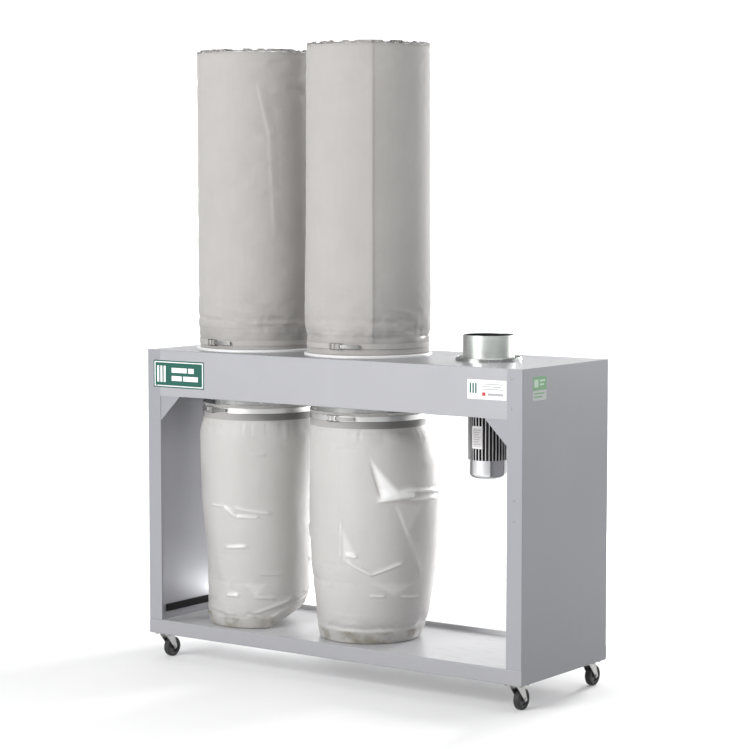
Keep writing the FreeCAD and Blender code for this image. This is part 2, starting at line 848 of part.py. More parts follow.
# ---- Inlet -------------------------------------------------------------------------------------
def inlet_spigot():
    """The duct spigot: a tube with a flared root, rolled grooves near its mouth, and a tail that
    narrows towards the impeller's eye."""
    low, top = frame_top - spigot_tail, frame_top + spigot_height
    root_top = frame_top + spigot_root_height
    inner = spigot_radius - spigot_wall
    profile = [
        (spigot_radius - spigot_taper, low), (spigot_radius + spigot_root_wall, frame_top),
        (spigot_radius, root_top), (spigot_radius, top), (inner, top), (inner, plate_under),
        (inner - spigot_taper, low),
    ]
    body = turned(profile, fan_x, 0)
    grooves = []
    for k in range(1, spigot_groove_count + 1):
        z = top - k * spigot_groove_pitch
        grooves.append(tube(fan_x, 0, z - 0.75, z + 0.75, spigot_radius + 1,
                            spigot_radius - spigot_groove_depth))
    return cut_all(body, grooves)


def inlet_ring():
    """The dished ring that holds the spigot to the top plate, with a raised rim round a channel."""
    inner = spigot_radius + spigot_root_wall + slip
    rim = inlet_ring_radius - inlet_ring_rim
    top = frame_top + inlet_ring_height
    shelf = frame_top + sheet
    profile = [
        (inner, frame_top), (inlet_ring_radius, frame_top), (inlet_ring_radius, top - 2),
        (inlet_ring_radius - 2, top), (rim + 1, top), (rim, top - 1), (rim, shelf),
        (inner + collar_wall, shelf), (inner + collar_wall, shelf + 6), (inner, shelf + 6),
    ]
    ring = turned(profile, fan_x, 0)
    holes = [disc(x, y, frame_top - 1, shelf + 1, screw_radius + hole_clearance) for x, y in inlet_screws_at]
    return cut_all(ring, holes)


# ---- Fan ---------------------------------------------------------------------------------------
def fan_scroll():
    """The scroll: a wall that winds outward round the impeller and opens towards the bags."""
    smallest = impeller_radius + scroll_start_gap
    largest = half_depth - sheet - scroll_side_gap
    shift = (largest - smallest) / 6
    height = plate_under - floor_top
    arcs = [
        (fan_x + shift, shift, smallest + shift, 90.0, scroll_tongue),
        (fan_x + shift, -shift, smallest + 3 * shift, 0.0, 90.0),
        (fan_x - shift, -shift, smallest + 5 * shift, -90.0, 90.0),
    ]
    walls = []
    for x, y, radius, start, sweep in arcs:
        ring = tube(x, y, floor_top, plate_under, radius + scroll_wall, radius)
        wedge = Part.makeCylinder(radius + 20, height, Vector(x, y, floor_top), Vector(0, 0, 1), sweep)
        wedge.rotate(Vector(x, y, 0), Vector(0, 0, 1), start)
        walls.append(ring.common(wedge))
    x, y, radius = arcs[2][:3]
    walls.append(block(x, x - scroll_outlet, y - radius, y - radius - scroll_wall, floor_top, plate_under))
    x, y, radius = arcs[0][:3]
    tip_x, tip_y = polar(x, y, radius + scroll_wall / 2, 90.0 + scroll_tongue)
    walls.append(block(tip_x - scroll_wall, tip_x, tip_y, largest, floor_top, plate_under))
    return fuse(walls)


def impeller():
    """The fan wheel: a back plate, backward-curved blades and a front ring round the eye."""
    z0 = floor_top + impeller_rise
    z1 = z0 + impeller_plate
    z2 = z1 + blade_height
    back = tube(fan_x, 0, z0, z1, impeller_radius, shaft_radius + 4)
    ring = tube(fan_x, 0, z2, z2 + impeller_plate, impeller_radius, impeller_eye_radius)
    inner, outer = impeller_eye_radius + 2, impeller_radius - 1
    reach = (outer ** 2 + inner ** 2) / 2
    centre_distance = math.sqrt(reach + blade_curve ** 2 - inner * outer * 0.35)
    blades = []
    for k in range(blade_count):
        cx, cy = polar(fan_x, 0, centre_distance, 360.0 * k / blade_count)
        shell = tube(cx, cy, z1 - 0.5, z2 + 0.5, blade_curve + blade_thickness / 2,
                     blade_curve - blade_thickness / 2)
        sector = tube(fan_x, 0, z1 - 0.5, z2 + 0.5, outer, inner)
        pieces = shell.common(sector).Solids
        tangent = Vector(-math.sin(math.radians(360.0 * k / blade_count)),
                         math.cos(math.radians(360.0 * k / blade_count)), 0)
        blades.append(max(pieces, key=lambda s: (s.CenterOfMass - Vector(fan_x, 0, 0)).dot(tangent)))
    return fuse([back, ring] + blades)


def impeller_hub():
    """The hub that clamps the impeller to the shaft, and its end screw with a washer."""
    seat = floor_top + impeller_rise
    low = seat - hub_lift
    top = low + hub_length
    neck = shaft_radius + 4 - running
    profile = [
        (shaft_radius + running, low), (hub_radius, low), (hub_radius, seat - running), (neck, seat - running),
        (neck, top), (shaft_radius + running, top),
    ]
    washer = disc(fan_x, 0, top + running, top + running + 2.5, neck + 4)
    head = hex_prism(fan_x, 0, top + running + 2.5, top + running + 2.5 + bolt_head_height, bolt_head_radius)
    return [turned(profile, fan_x, 0), fuse([washer, head])]


# ---- Motor -------------------------------------------------------------------------------------
motor_top = floor_under - motor_flange_thickness
body_low = motor_top - motor_length
core_middle = (motor_top + body_low) / 2
cover_low = body_low - cover_length


def motor_label_top():
    """The top edge of the label on the motor's front pad."""
    return motor_top - 59.0


def motor_flange():
    """The motor's upper end shield, a round flange bolted up to the plenum's floor."""
    plate = disc(fan_x, 0, motor_top, floor_under, motor_flange_radius)
    seat_low = motor_top - bearing_width - 2
    seat = disc(fan_x, 0, seat_low, motor_top, bearing_radius + 6)
    shield = fuse([plate, seat])
    cuts = [
        disc(fan_x, 0, seat_low - 1, motor_top, bearing_radius + running),
        disc(fan_x, 0, motor_top - 1, floor_under + 1, shaft_radius + 2),
    ]
    cuts += [disc(x, y, motor_top - 1, floor_under + 1, bolt_radius + hole_clearance)
             for x, y in motor_bolts_at]
    return cut_all(shield, cuts)


def motor_body():
    """The finned housing with a flat front pad, a rear pad and a bearing seat in its floor."""
    core = disc(fan_x, 0, body_low, motor_top, motor_core_radius)
    fins = []
    for k in range(fin_count):
        fin = block(motor_core_radius - 2, motor_radius, -fin_thickness / 2, fin_thickness / 2,
                    body_low, motor_top)
        fin.rotate(Vector(0, 0, 0), Vector(0, 0, 1), 360.0 * (k + 0.5) / fin_count)
        fin.translate(Vector(fan_x, 0, 0))
        fins.append(fin)
    reach = motor_core_radius + pad_depth
    keep = block(fan_x - motor_radius - 1, fan_x + motor_radius + 1, -reach, reach, body_low, motor_top)
    fins = [f.common(keep) for f in fins]
    pad_top = motor_label_top() + 6
    pads = [
        block(fan_x - pad_width / 2, fan_x + pad_width / 2, -motor_core_radius + 12, -reach,
              pad_top - motor_label[1] - 12, pad_top),
        block(fan_x - pad_width / 2, fan_x + pad_width / 2, motor_core_radius - 12, reach,
              core_middle - 40, core_middle + 40),
    ]
    bore = disc(fan_x, 0, body_low + motor_floor, motor_top + 1, motor_core_radius - motor_shell)
    seat = tube(fan_x, 0, body_low, body_low + motor_floor + bearing_width, bearing_radius + 6,
                shaft_radius + 2)
    hollow = fuse([core] + fins + pads).cut(bore)
    shell = fuse([hollow, seat])
    return cut_all(shell, [
        disc(fan_x, 0, body_low + motor_floor, body_low + motor_floor + bearing_width + 1,
             bearing_radius + running),
        disc(fan_x, 0, body_low - 1, body_low + motor_floor + 1, shaft_radius + 2),
    ])


def stator_core():
    """The stator's iron ring, pressed into the housing."""
    outer = motor_core_radius - motor_shell - running
    return tube(fan_x, 0, core_middle - core_length / 2, core_middle + core_length / 2, outer, stator_bore)


def motor_bearings():
    """The shaft's two bearings, one in the flange and one in the housing's floor."""
    lower = body_low + motor_floor
    upper = motor_top - bearing_width
    return [
        tube(fan_x, 0, z, z + bearing_width, bearing_radius, shaft_radius + running)
        for z in (lower, upper)
    ]


def motor_shaft():
    """The shaft, thinner at its lower end for the cooling fan."""
    hub_top = floor_top + impeller_rise - hub_lift + hub_length
    low = cover_low + 22
    step = body_low - 2
    return fuse([
        disc(fan_x, 0, step, hub_top, shaft_radius),
        disc(fan_x, 0, low, step, shaft_tail_radius),
    ])


def rotor_core():
    """The rotor's iron, which turns inside the stator."""
    return tube(fan_x, 0, core_middle - core_length / 2, core_middle + core_length / 2,
                stator_bore - core_air_gap, shaft_radius + running)


def cooling_fan():
    """The small plastic fan under the housing that cools the motor."""
    z0 = body_low - 32
    hub = tube(fan_x, 0, z0, z0 + 24, shaft_tail_radius + 8, shaft_tail_radius + running)
    web = tube(fan_x, 0, z0 + 20, z0 + 24, cooling_fan_radius, shaft_tail_radius + 2)
    blades = []
    for k in range(cooling_blade_count):
        blade = block(shaft_tail_radius + 4, cooling_fan_radius, -1.2, 1.2, z0, z0 + 22)
        blade.rotate(Vector(0, 0, 0), Vector(0, 0, 1), 360.0 * k / cooling_blade_count)
        blade.translate(Vector(fan_x, 0, 0))
        blades.append(blade)
    return fuse([hub, web] + blades)


def fan_cover():
    """The pressed cowl under the motor, with a rounded bottom and a ring of air slots."""
    outer = disc(fan_x, 0, cover_low, body_low, cover_radius)
    bottom_edge = [e for e in outer.Edges if isinstance(e.Curve, Part.Circle)
                   and e.BoundBox.ZMax < cover_low + 0.1]
    outer = outer.makeFillet(cover_round, bottom_edge)
    inner = disc(fan_x, 0, cover_low + cover_wall, body_low + 1, cover_radius - cover_wall)
    inner_edge = [e for e in inner.Edges if isinstance(e.Curve, Part.Circle)
                  and e.BoundBox.ZMax < cover_low + cover_wall + 0.1]
    inner = inner.makeFillet(cover_round - cover_wall, inner_edge)
    slots = []
    for ring_radius in (18.0, 30.0, 42.0):
        ring = tube(fan_x, 0, cover_low - 1, cover_low + cover_wall + 1, ring_radius + 2.5, ring_radius - 2.5)
        for k in range(cover_slot_count):
            bridge = block(0, cover_radius, -2.5, 2.5, cover_low - 2, cover_low + cover_wall + 2)
            bridge.rotate(Vector(0, 0, 0), Vector(0, 0, 1), 360.0 * k / cover_slot_count)
            bridge.translate(Vector(fan_x, 0, 0))
            ring = ring.cut(bridge)
        slots.append(ring)
    return cut_all(outer.cut(inner), slots)


def terminal_box():
    """The wiring box on the motor's rear pad, and its lid."""
    width, depth, height = terminal_box_size
    y0 = motor_core_radius + pad_depth
    z0 = core_middle - height / 2
    shell = block(fan_x - width / 2, fan_x + width / 2, y0, y0 + depth, z0, z0 + height)
    corners = [e for e in shell.Edges if abs(e.tangentAt(e.FirstParameter).y) > 0.9]
    shell = shell.makeFillet(8.0, corners)
    wall = 3.0
    hollow = block(fan_x - width / 2 + wall, fan_x + width / 2 - wall, y0 + wall, y0 + depth + 1,
                   z0 + wall, z0 + height - wall)
    gland_y = y0 + depth / 2
    gland_hole = disc(fan_x, gland_y, z0 - 1, z0 + wall + 1, gland_radius * 0.75 + running)
    lid = block(fan_x - width / 2, fan_x + width / 2, y0 + depth, y0 + depth + terminal_lid, z0, z0 + height)
    corners = [e for e in lid.Edges if abs(e.tangentAt(e.FirstParameter).y) > 0.9]
    lid = lid.makeFillet(8.0, corners)
    return [cut_all(shell, [hollow, gland_hole]), lid]


def cable_gland():
    """The gland under the wiring box: a threaded stub, a hexagon and a domed nut with a bore."""
    y = motor_core_radius + pad_depth + terminal_box_size[1] / 2
    top = core_middle - terminal_box_size[2] / 2
    stub = disc(fan_x, y, top - 2, top + 6, gland_radius * 0.75)
    collar = hex_prism(fan_x, y, top - 8, top, gland_radius)
    nut = disc(fan_x, y, top - gland_length, top - 8, gland_radius * 0.9)
    bore = disc(fan_x, y, top - gland_length - 1, top + 7, gland_radius * 0.45)
    return fuse([stub, collar, nut]).cut(bore)


# ---- Fasteners ---------------------------------------------------------------------------------
def pan_screw_y(x, z, side):
    """A pan-head screw in the front or rear sheet."""
    face = Vector(x, side * half_depth, z)
    head = Part.makeCylinder(screw_head_radius, screw_head_height, face, Vector(0, side, 0))
    rim = [e for e in head.Edges if isinstance(e.Curve, Part.Circle)
           and abs(e.Curve.Center.y) > half_depth + 0.1]
    head = head.makeFillet(screw_head_height * 0.6, rim)
    shank = Part.makeCylinder(screw_radius, 7, face, Vector(0, -side, 0))
    return fuse([head, shank])


def fasteners():
    """Every screw and bolt that holds the fixed pieces together."""
    made = [pan_screw_y(*p) for p in front_screw_places()]
    plate_low = base_z - caster_plate[2]
    for x, y in caster_bolt_places():
        head = hex_prism(x, y, plate_low - bolt_head_height, plate_low, bolt_head_radius)
        made.append(fuse([head, disc(x, y, plate_low - 1, base_z + sheet + 8, bolt_radius)]))
    for x, y in motor_bolts_at:
        head = hex_prism(x, y, motor_top - bolt_head_height, motor_top, bolt_head_radius)
        made.append(fuse([head, disc(x, y, motor_top - 1, floor_top + 7, bolt_radius)]))
    for x, y in inlet_screws_at:
        z = frame_top + sheet
        head = disc(x, y, z, z + screw_head_height, screw_head_radius)
        made.append(fuse([head, disc(x, y, plate_under - 5, z + 1, screw_radius)]))
    return made


# ---- Every node --------------------------------------------------------------------------------
def all_nodes():
    """Node names and the shapes that they hold, in the order that they would be assembled."""
    nodes = {
        "base_tray": [base_tray()],
        "base_rails": base_rails(),
        "top_plate": [top_plate()],
        "plenum_floor": [plenum_floor()],
        "front_fascia": [fascia(-1)],
        "rear_fascia": [fascia(1)],
        "corner_gussets": corner_gussets(),
        "bumper_strips": bumper_strips(),
        "label_plates": label_plates(),
        "inlet_spigot": [inlet_spigot()],
        "inlet_ring": [inlet_ring()],
        "fan_scroll": [fan_scroll()],
        "impeller": [impeller()],
        "impeller_hub": impeller_hub(),
        "motor_flange": [motor_flange()],
        "motor_body": [motor_body()],
        "stator_core": [stator_core()],
        "rotor_core": [rotor_core()],
        "motor_shaft": [motor_shaft()],
        "motor_bearings": motor_bearings(),
        "cooling_fan": [cooling_fan()],
        "fan_cover": [fan_cover()],
        "terminal_box": terminal_box(),
        "cable_gland": [cable_gland()],
        "caster_plates": [caster_top_plate(c) for c in casters.values()],
        "fasteners": fasteners(),
    }
    for name in sides:
        nodes[name + "_side_panel"] = [side_panel(name)]
        nodes[name + "_filter_collar"] = [filter_collar(name)]
        nodes[name + "_filter_bag"] = [filter_bag(name)]
        nodes[name + "_dust_collar"] = [dust_collar(name)]
        nodes[name + "_dust_bag"] = [dust_bag(name)]
    for name in latch_angles:
        nodes[name + "_band"] = [clamp_band(name)]
        nodes[name + "_latch_lever"] = [latch_lever(name)]
        nodes[name + "_latch_bail"] = [latch_bail(name)]
    for name, corner in casters.items():
        nodes[name + "_fork"] = caster_fork(corner)
        nodes[name + "_tyre"] = [caster_tyre(corner)]
        nodes[name + "_wheel_hub"] = [caster_hub(corner)]
    return nodes


os.makedirs("parts", exist_ok=True)
for node, shapes in all_nodes().items():
    solids = [solid for shape in shapes for solid in shape.Solids]
    whole = solids[0] if len(solids) == 1 else Part.makeCompound(solids)
    whole.exportStep("parts/" + node + ".step")
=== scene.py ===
"""The looks of a mobile two-bag dust collector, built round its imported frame.

The file is laid out as an add-on. Each group of pieces has one operator, the sizes and colours that
a user would change are scene properties, and main() runs the operators in order.
"""

import math

import bmesh
import bpy
from bpy.props import FloatProperty, FloatVectorProperty, PointerProperty
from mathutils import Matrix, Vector, noise
from mathutils.bvhtree import BVHTree


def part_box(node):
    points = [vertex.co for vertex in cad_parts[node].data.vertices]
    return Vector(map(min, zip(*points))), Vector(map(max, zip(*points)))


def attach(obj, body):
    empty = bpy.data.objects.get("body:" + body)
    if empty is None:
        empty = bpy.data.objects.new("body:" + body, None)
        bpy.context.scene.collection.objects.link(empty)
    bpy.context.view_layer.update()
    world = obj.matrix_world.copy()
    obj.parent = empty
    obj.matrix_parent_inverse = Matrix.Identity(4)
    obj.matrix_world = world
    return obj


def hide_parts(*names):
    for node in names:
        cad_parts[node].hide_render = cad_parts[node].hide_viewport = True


bl_info = {
    "name": "Dust collector",
    "version": (1, 0, 0),
    "blender": (4, 5, 0),
    "location": "3D View > Sidebar > Dust collector",
    "description": "Cloth bags, film bags, printed plates and finishes for a workshop dust collector",
    "category": "Object",
}

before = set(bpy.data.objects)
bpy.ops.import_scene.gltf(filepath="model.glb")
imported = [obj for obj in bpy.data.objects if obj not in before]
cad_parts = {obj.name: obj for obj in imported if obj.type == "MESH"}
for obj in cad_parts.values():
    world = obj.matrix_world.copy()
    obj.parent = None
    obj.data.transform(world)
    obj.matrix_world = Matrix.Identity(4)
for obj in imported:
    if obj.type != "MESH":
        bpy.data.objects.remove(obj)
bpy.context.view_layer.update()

MM = 0.001
TAU = 2 * math.pi
SIDES = ("left", "right")
CLAMPS = ("left_filter", "right_filter", "left_dust", "right_dust")
CASTERS = ("front_left", "front_right", "rear_left", "rear_right")
# The horizontal direction in which the slack dust bags hang over to one side.
HANG = Vector((0.813, 0.582, 0.0))


# ---- Places taken from the frame ---------------------------------------------------------------
def low_high(node):
    """A node's lowest and highest corners as vectors."""
    low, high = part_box(node)
    return Vector(low), Vector(high)


# ---- Shader maths ------------------------------------------------------------------------------
class Signal:
    """One socket's value. Arithmetic on it adds Math nodes."""

    def __init__(self, finish, socket):
        self.finish = finish
        self.socket = socket

    def __add__(self, other):
        return self.finish.math("ADD", self, other)

    def __radd__(self, other):
        return self.finish.math("ADD", other, self)

    def __sub__(self, other):
        return self.finish.math("SUBTRACT", self, other)

    def __rsub__(self, other):
        return self.finish.math("SUBTRACT", other, self)

    def __mul__(self, other):
        return self.finish.math("MULTIPLY", self, other)

    def __rmul__(self, other):
        return self.finish.math("MULTIPLY", other, self)

    def __pow__(self, other):
        return self.finish.math("POWER", self, other)

    def __abs__(self):
        return self.finish.math("ABSOLUTE", self)


class Finish:
    """A material with one Principled shader, whose sockets take constants or signals."""

    def __init__(self, name, color, **constants):
        self.material = bpy.data.materials.new(name)
        self.material.use_nodes = True
        self.tree = self.material.node_tree
        self.shader = self.tree.nodes["Principled BSDF"]
        self.feed("Base Color", (*color, 1.0))
        self.material.diffuse_color = (*color, 1.0)
        for key, value in constants.items():
            self.feed(key.replace("_", " ").title().replace("Ior", "IOR"), value)

    def node(self, kind, settings=None, inputs=None, output=0):
        """Adds a node: its settings first, then its sockets. Returns one output as a signal."""
        made = self.tree.nodes.new(kind)
        for key, value in (settings or {}).items():
            if key == "stops":
                self.set_stops(made.color_ramp, value)
            else:
                setattr(made, key, value)
        for key, value in (inputs or {}).items():
            self.plug(made.inputs[key], value)
        return Signal(self, made.outputs[output])

    @staticmethod
    def set_stops(ramp, stops):
        """Gives a colour ramp its stops, as (position, grey) pairs."""
        while len(ramp.elements) < len(stops):
            ramp.elements.new(0.5)
        for element, (place, grey) in zip(ramp.elements, stops):
            element.position = place
            element.color = (grey, grey, grey, 1.0)

    def plug(self, socket, value):
        """Links a signal to a socket, or sets the socket's own value."""
        if isinstance(value, Signal):
            self.tree.links.new(value.socket, socket)
        else:
            socket.default_value = value

    def feed(self, socket, value):
        """Sets or links one of the shader's sockets."""
        self.plug(self.shader.inputs[socket], value)

    def math(self, operation, first, second=None):
        """A Math node on one or two values."""
        inputs = {0: first} if second is None else {0: first, 1: second}
        return self.node("ShaderNodeMath", {"operation": operation}, inputs)

    def place(self, stretch=(1.0, 1.0, 1.0)):
        """Where the surface is in the piece's own frame, stretched along each axis."""
        spot = self.node("ShaderNodeTexCoord", output=3)
        return self.node("ShaderNodeVectorMath", {"operation": "MULTIPLY"}, {0: spot, 1: stretch})

    def parts_of(self, vector):
        """The three numbers of a vector."""
        return [self.node("ShaderNodeSeparateXYZ", None, {0: vector}, k) for k in range(3)]

    def grain(self, scale, detail=2.0, stretch=(1.0, 1.0, 1.0), roughness=0.5):
        """Noise from 0 to 1 with a number of grains a metre."""
        return self.node(
            "ShaderNodeTexNoise",
            {"noise_dimensions": "3D"},
            {"Vector": self.place(stretch), "Scale": scale, "Detail": detail, "Roughness": roughness},
        )

    def step(self, signal, low, high):
        """A smooth rise from 0 to 1 between two values."""
        return self.node(
            "ShaderNodeMapRange",
            {"interpolation_type": "SMOOTHSTEP"},
            {"Value": signal, "From Min": low, "From Max": high},
        )

    def band(self, signal, low, high, soft):
        """1 between two values and 0 outside, with soft edges."""
        return self.step(signal, low - soft, low) * (1 - self.step(signal, high, high + soft))

    def tint(self, share, first, second):
        """A colour between two, by a share from 0 to 1."""
        return self.node(
            "ShaderNodeMix",
            {"data_type": "RGBA"},
            {"Factor": share, "A": colour_or_signal(first), "B": colour_or_signal(second)},
            2,
        )

    def bump(self, height, strength, distance):
        """Raises the surface's normal by a height signal; distance is in metres."""
        shifted = self.node(
            "ShaderNodeBump", None, {"Strength": strength, "Distance": distance, "Height": height}
        )
        self.feed("Normal", shifted)


def colour_or_signal(value):
    """A colour with its alpha, or the signal as it is."""
    return value if isinstance(value, Signal) else (*value, 1.0)


def shade(color, factor):
    """A colour made lighter or darker."""
    return tuple(min(1.0, c * factor) for c in color)


# ---- Finishes ----------------------------------------------------------------------------------
# Painted shade on the side panels' outer faces is deepest at the first height and gone at the second.
SIDE_SHADE_HEIGHTS = (0.1, 1.15)


def sheet_paint(name, base, low_shade=0.0):
    """Smooth silver-grey coat on sheet steel, with faint orange peel and handling marks. The outer
    faces of the side panels can take painted shade, darker low down."""
    finish = Finish(name, base, metallic=0.2, specular_ior_level=0.3)
    cloud = finish.grain(3.0, 3.0)
    rub = finish.step(finish.grain(26.0, 5.0, (1.0, 1.0, 0.35)), 0.52, 0.72)
    coat = finish.tint(cloud, shade(base, 0.97), shade(base, 1.03))
    if low_shade:
        reach = low_high("right_side_panel")[1].x
        x, _, height = finish.parts_of(finish.place())
        outer = finish.step(abs(x), reach - 1 * MM, reach - 0.5 * MM)
        # Painted shade: the outer faces of the side panels get darker towards the bottom.
        dust_and_shade = outer * (1 - finish.step(height, *SIDE_SHADE_HEIGHTS)) * low_shade
        coat = finish.tint(dust_and_shade, coat, shade(base, 0.5))
    finish.feed("Base Color", coat)
    finish.feed("Roughness", 0.3 + cloud * 0.07 + rub * 0.06)
    finish.bump(finish.grain(900.0, 1.0), 0.05, 0.0002)
    return finish.material


def tray_paint(settings):
    """The frame's coat outside, darkened as painted shade, and a paler, scuffed coat on the tray where
    things stand.
    """
    # The outer coat is the frame coat darkened by a share: painted shade.
    base, pale = shade(settings.paint_color, 0.85), (0.48, 0.48, 0.493)
    low, high = low_high("base_tray")
    finish = Finish("tray_coat", base, metallic=0.15, specular_ior_level=0.3)
    cloud = finish.grain(3.0, 3.0)
    scuff = finish.step(finish.grain(40.0, 4.0, (0.25, 1.0, 1.0)), 0.55, 0.72)
    x, y, z = finish.parts_of(finish.place())
    lip = 2.5 * MM
    inside = 1 - finish.step(abs(y), high.y - lip, high.y - lip + 0.5 * MM)
    inside = inside * (1 - finish.step(abs(x), high.x - lip, high.x - lip + 0.5 * MM))
    inside = inside * finish.step(z, low.z + 30 * MM, low.z + 34 * MM)
    coat = finish.tint(cloud, shade(base, 0.97), shade(base, 1.03))
    worn = finish.tint(scuff, pale, shade(pale, 0.93))
    finish.feed("Base Color", finish.tint(inside, coat, worn))
    finish.feed("Roughness", 0.27 + cloud * 0.08 + scuff * 0.08)
    finish.bump(finish.grain(800.0, 1.0), 0.05, 0.0002)
    return finish.material


def galvanised(name, base, roughness):
    """Bright zinc-coated sheet with its crystal pattern."""
    finish = Finish(name, base, metallic=1.0)
    crystals = finish.node(
        "ShaderNodeTexVoronoi", {"feature": "F1"}, {"Vector": finish.place(), "Scale": 90.0}, 1
    )
    grey = finish.node("ShaderNodeRGBToBW", None, {0: crystals})
    finish.feed("Base Color", finish.tint(grey, shade(base, 0.9), shade(base, 1.06)))
    finish.feed("Roughness", roughness + grey * 0.1 + finish.grain(14.0, 3.0) * 0.06)
    return finish.material


def spigot_sheet():
    """Bright rolled sheet with fine lines round the tube, and painted shade, near black, down inside
    the bore.
    """
    # The second colour is painted shade for down inside the bore.
    base, inside = (0.86, 0.9, 0.85), (0.008, 0.008, 0.008)
    low, high = low_high("inlet_spigot")
    middle = (low + high) / 2
    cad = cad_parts["inlet_spigot"]
    spots = [cad.matrix_world @ vertex.co for vertex in cad.data.vertices]
    tube = max((spot - middle).xy.length for spot in spots if spot.z > high.z - 1 * MM)
    finish = Finish("bright_sheet", base, metallic=1.0)
    lines = finish.grain(260.0, 2.0, (0.03, 0.03, 1.0))
    x, y, z = finish.parts_of(finish.place())
    across, along = x - middle.x, y - middle.y
    distance = (across * across + along * along) ** 0.5
    bore = 1 - finish.step(distance, tube - 1.7 * MM, tube - 0.9 * MM)
    # Painted shade: the bore goes near black below its top edge.
    bore_shade = bore * (1 - finish.step(z, high.z - 3 * MM, high.z - 0.5 * MM))
    lined = finish.tint(lines, shade(base, 0.9), shade(base, 1.08))
    finish.feed("Base Color", finish.tint(bore_shade, lined, inside))
    finish.feed("Metallic", 1 - bore_shade)
    finish.feed("Roughness", 0.27 + lines * 0.1 + bore_shade * 0.6)
    finish.bump(lines, 0.05, 0.0002)
    return finish.material


def clouded(name, base, cloud_scale, tones, roughness, peel, **constants):
    """A plain finish with soft clouds: tones are its darkest and lightest, roughness is its least
    and how much the clouds add, and peel is the fine texture's grains, strength and depth."""
    finish = Finish(name, base, **constants)
    cloud = finish.grain(cloud_scale, 3.0)
    finish.feed("Base Color", finish.tint(cloud, shade(base, tones[0]), shade(base, tones[1])))
    finish.feed("Roughness", roughness[0] + cloud * roughness[1])
    finish.bump(finish.grain(peel[0], 1.0), peel[1], peel[2])
    return finish.material


def white_coat():
    """Smooth white powder coat on the spun collars."""
    return clouded("white_coat", (0.7, 0.7, 0.7), 8.0, (0.96, 1.0), (0.3, 0.12), (700.0, 0.08, 0.0003),
                   coat_weight=0.2)


def drawn_steel(name, base, roughness, stretch):
    """Bright strip steel with fine lines along the way it was rolled."""
    finish = Finish(name, base, metallic=1.0)
    lines = finish.grain(500.0, 3.0, stretch)
    finish.feed("Base Color", finish.tint(lines, shade(base, 0.9), shade(base, 1.05)))
    finish.feed("Roughness", roughness + lines * 0.12)
    finish.bump(lines, 0.06, 0.0002)
    return finish.material


def cast_aluminium():
    """Die-cast aluminium: bright fin tips, and painted shade in the gaps between the fins."""
    # The second colour is painted shade for the gaps between the fins.
    base, fin_gap_shade = (0.82, 0.81, 0.81), (0.035, 0.033, 0.036)
    low, high = low_high("motor_body")
    middle = (low + high) / 2
    reach = (high.x - low.x) / 2
    finish = Finish("cast_aluminium", base, metallic=0.6)
    sand = finish.grain(420.0, 3.0)
    x, y, _ = finish.parts_of(finish.place())
    across, along = x - middle.x, y - middle.y
    distance = (across * across + along * along) ** 0.5
    tips = finish.step(distance, reach - 6 * MM, reach - 1.5 * MM)
    finish.feed("Base Color", finish.tint(tips, fin_gap_shade, finish.tint(sand, shade(base, 0.92), base)))
    finish.feed("Roughness", 0.5 - tips * 0.26 + sand * 0.1)
    finish.bump(sand, 0.2, 0.0004)
    return finish.material


def dark_iron():
    """Stacked iron sheets: thin level lines."""
    base = (0.2, 0.19, 0.18)
    finish = Finish("dark_iron", base, metallic=0.8)
    height = finish.parts_of(finish.place())[2]
    lines = finish.math("PINGPONG", height, 0.0005) * 2000.0
    finish.feed("Roughness", 0.45 + lines * 0.2)
    finish.bump(lines, 0.3, 0.0003)
    return finish.material


def moulded(name, base, roughness, grains=600.0, strength=0.2, specular=0.5):
    """Moulded plastic or rubber with a fine texture."""
    finish = Finish(name, base, specular_ior_level=specular)
    grain = finish.grain(grains, 2.0)
    dust_and_shade = finish.step(finish.grain(30.0, 4.0), 0.5, 0.75)
    finish.feed("Base Color", finish.tint(dust_and_shade, base, shade(base, 1.35)))
    finish.feed("Roughness", roughness + dust_and_shade * 0.12)
    finish.bump(grain, strength, 0.0004)
    return finish.material


def satin_paint(name, base):
    """Satin paint on the hidden fan wheel."""
    return clouded(name, base, 20.0, (0.9, 1.1), (0.4, 0.15), (500.0, 0.1, 0.0003), metallic=0.3)


def needle_felt(settings):
    """Pressed filter felt: short fibres, a faint weave and soft mottling, greyer near the clamp."""
    base = settings.cloth_color
    clamp = low_high("left_filter_band")[1].z
    finish = Finish("needle_felt", base, sheen_weight=0.2, sheen_roughness=0.6,
                    specular_ior_level=0.2)
    mottle = finish.grain(9.0, 4.0)
    streak = finish.grain(60.0, 3.0, (1.0, 1.0, 0.12))
    fibre = finish.grain(1100.0, 3.0, (1.0, 1.0, 0.5))
    height = finish.parts_of(finish.place())[2]
    near_clamp = 1 - finish.step(height, clamp, clamp + 0.28)
    dust_and_shade = near_clamp * finish.step(finish.grain(5.0, 3.0), 0.42, 0.72)
    mixed = mottle * 0.55 + streak * 0.25 + fibre * 0.2
    clean = finish.tint(mixed, shade(base, 0.88), shade(base, 1.1))
    finish.feed("Base Color", finish.tint(dust_and_shade * 0.4, clean, shade(base, 0.55)))
    finish.feed("Roughness", 0.86 + mottle * 0.1)
    finish.bump(fibre * 0.7 + streak * 0.3, 0.5, 0.001)
    return finish.material


def sewn_edge(settings):
    """The raw edge of the felt, flecked with dark overlock thread."""
    base = shade(settings.cloth_color, 0.85)
    finish = Finish("sewn_edge", base, sheen_weight=0.2, specular_ior_level=0.2)
    fleck = finish.step(finish.grain(150.0, 2.0), 0.46, 0.58)
    worn = finish.step(finish.grain(7.0, 2.0), 0.34, 0.54)
    finish.feed("Base Color", finish.tint(fleck * worn, base, (0.06, 0.05, 0.042)))
    finish.feed("Roughness", 0.85 + fleck * 0.1)
    finish.bump(finish.grain(700.0, 2.0), 0.5, 0.001)
    return finish.material


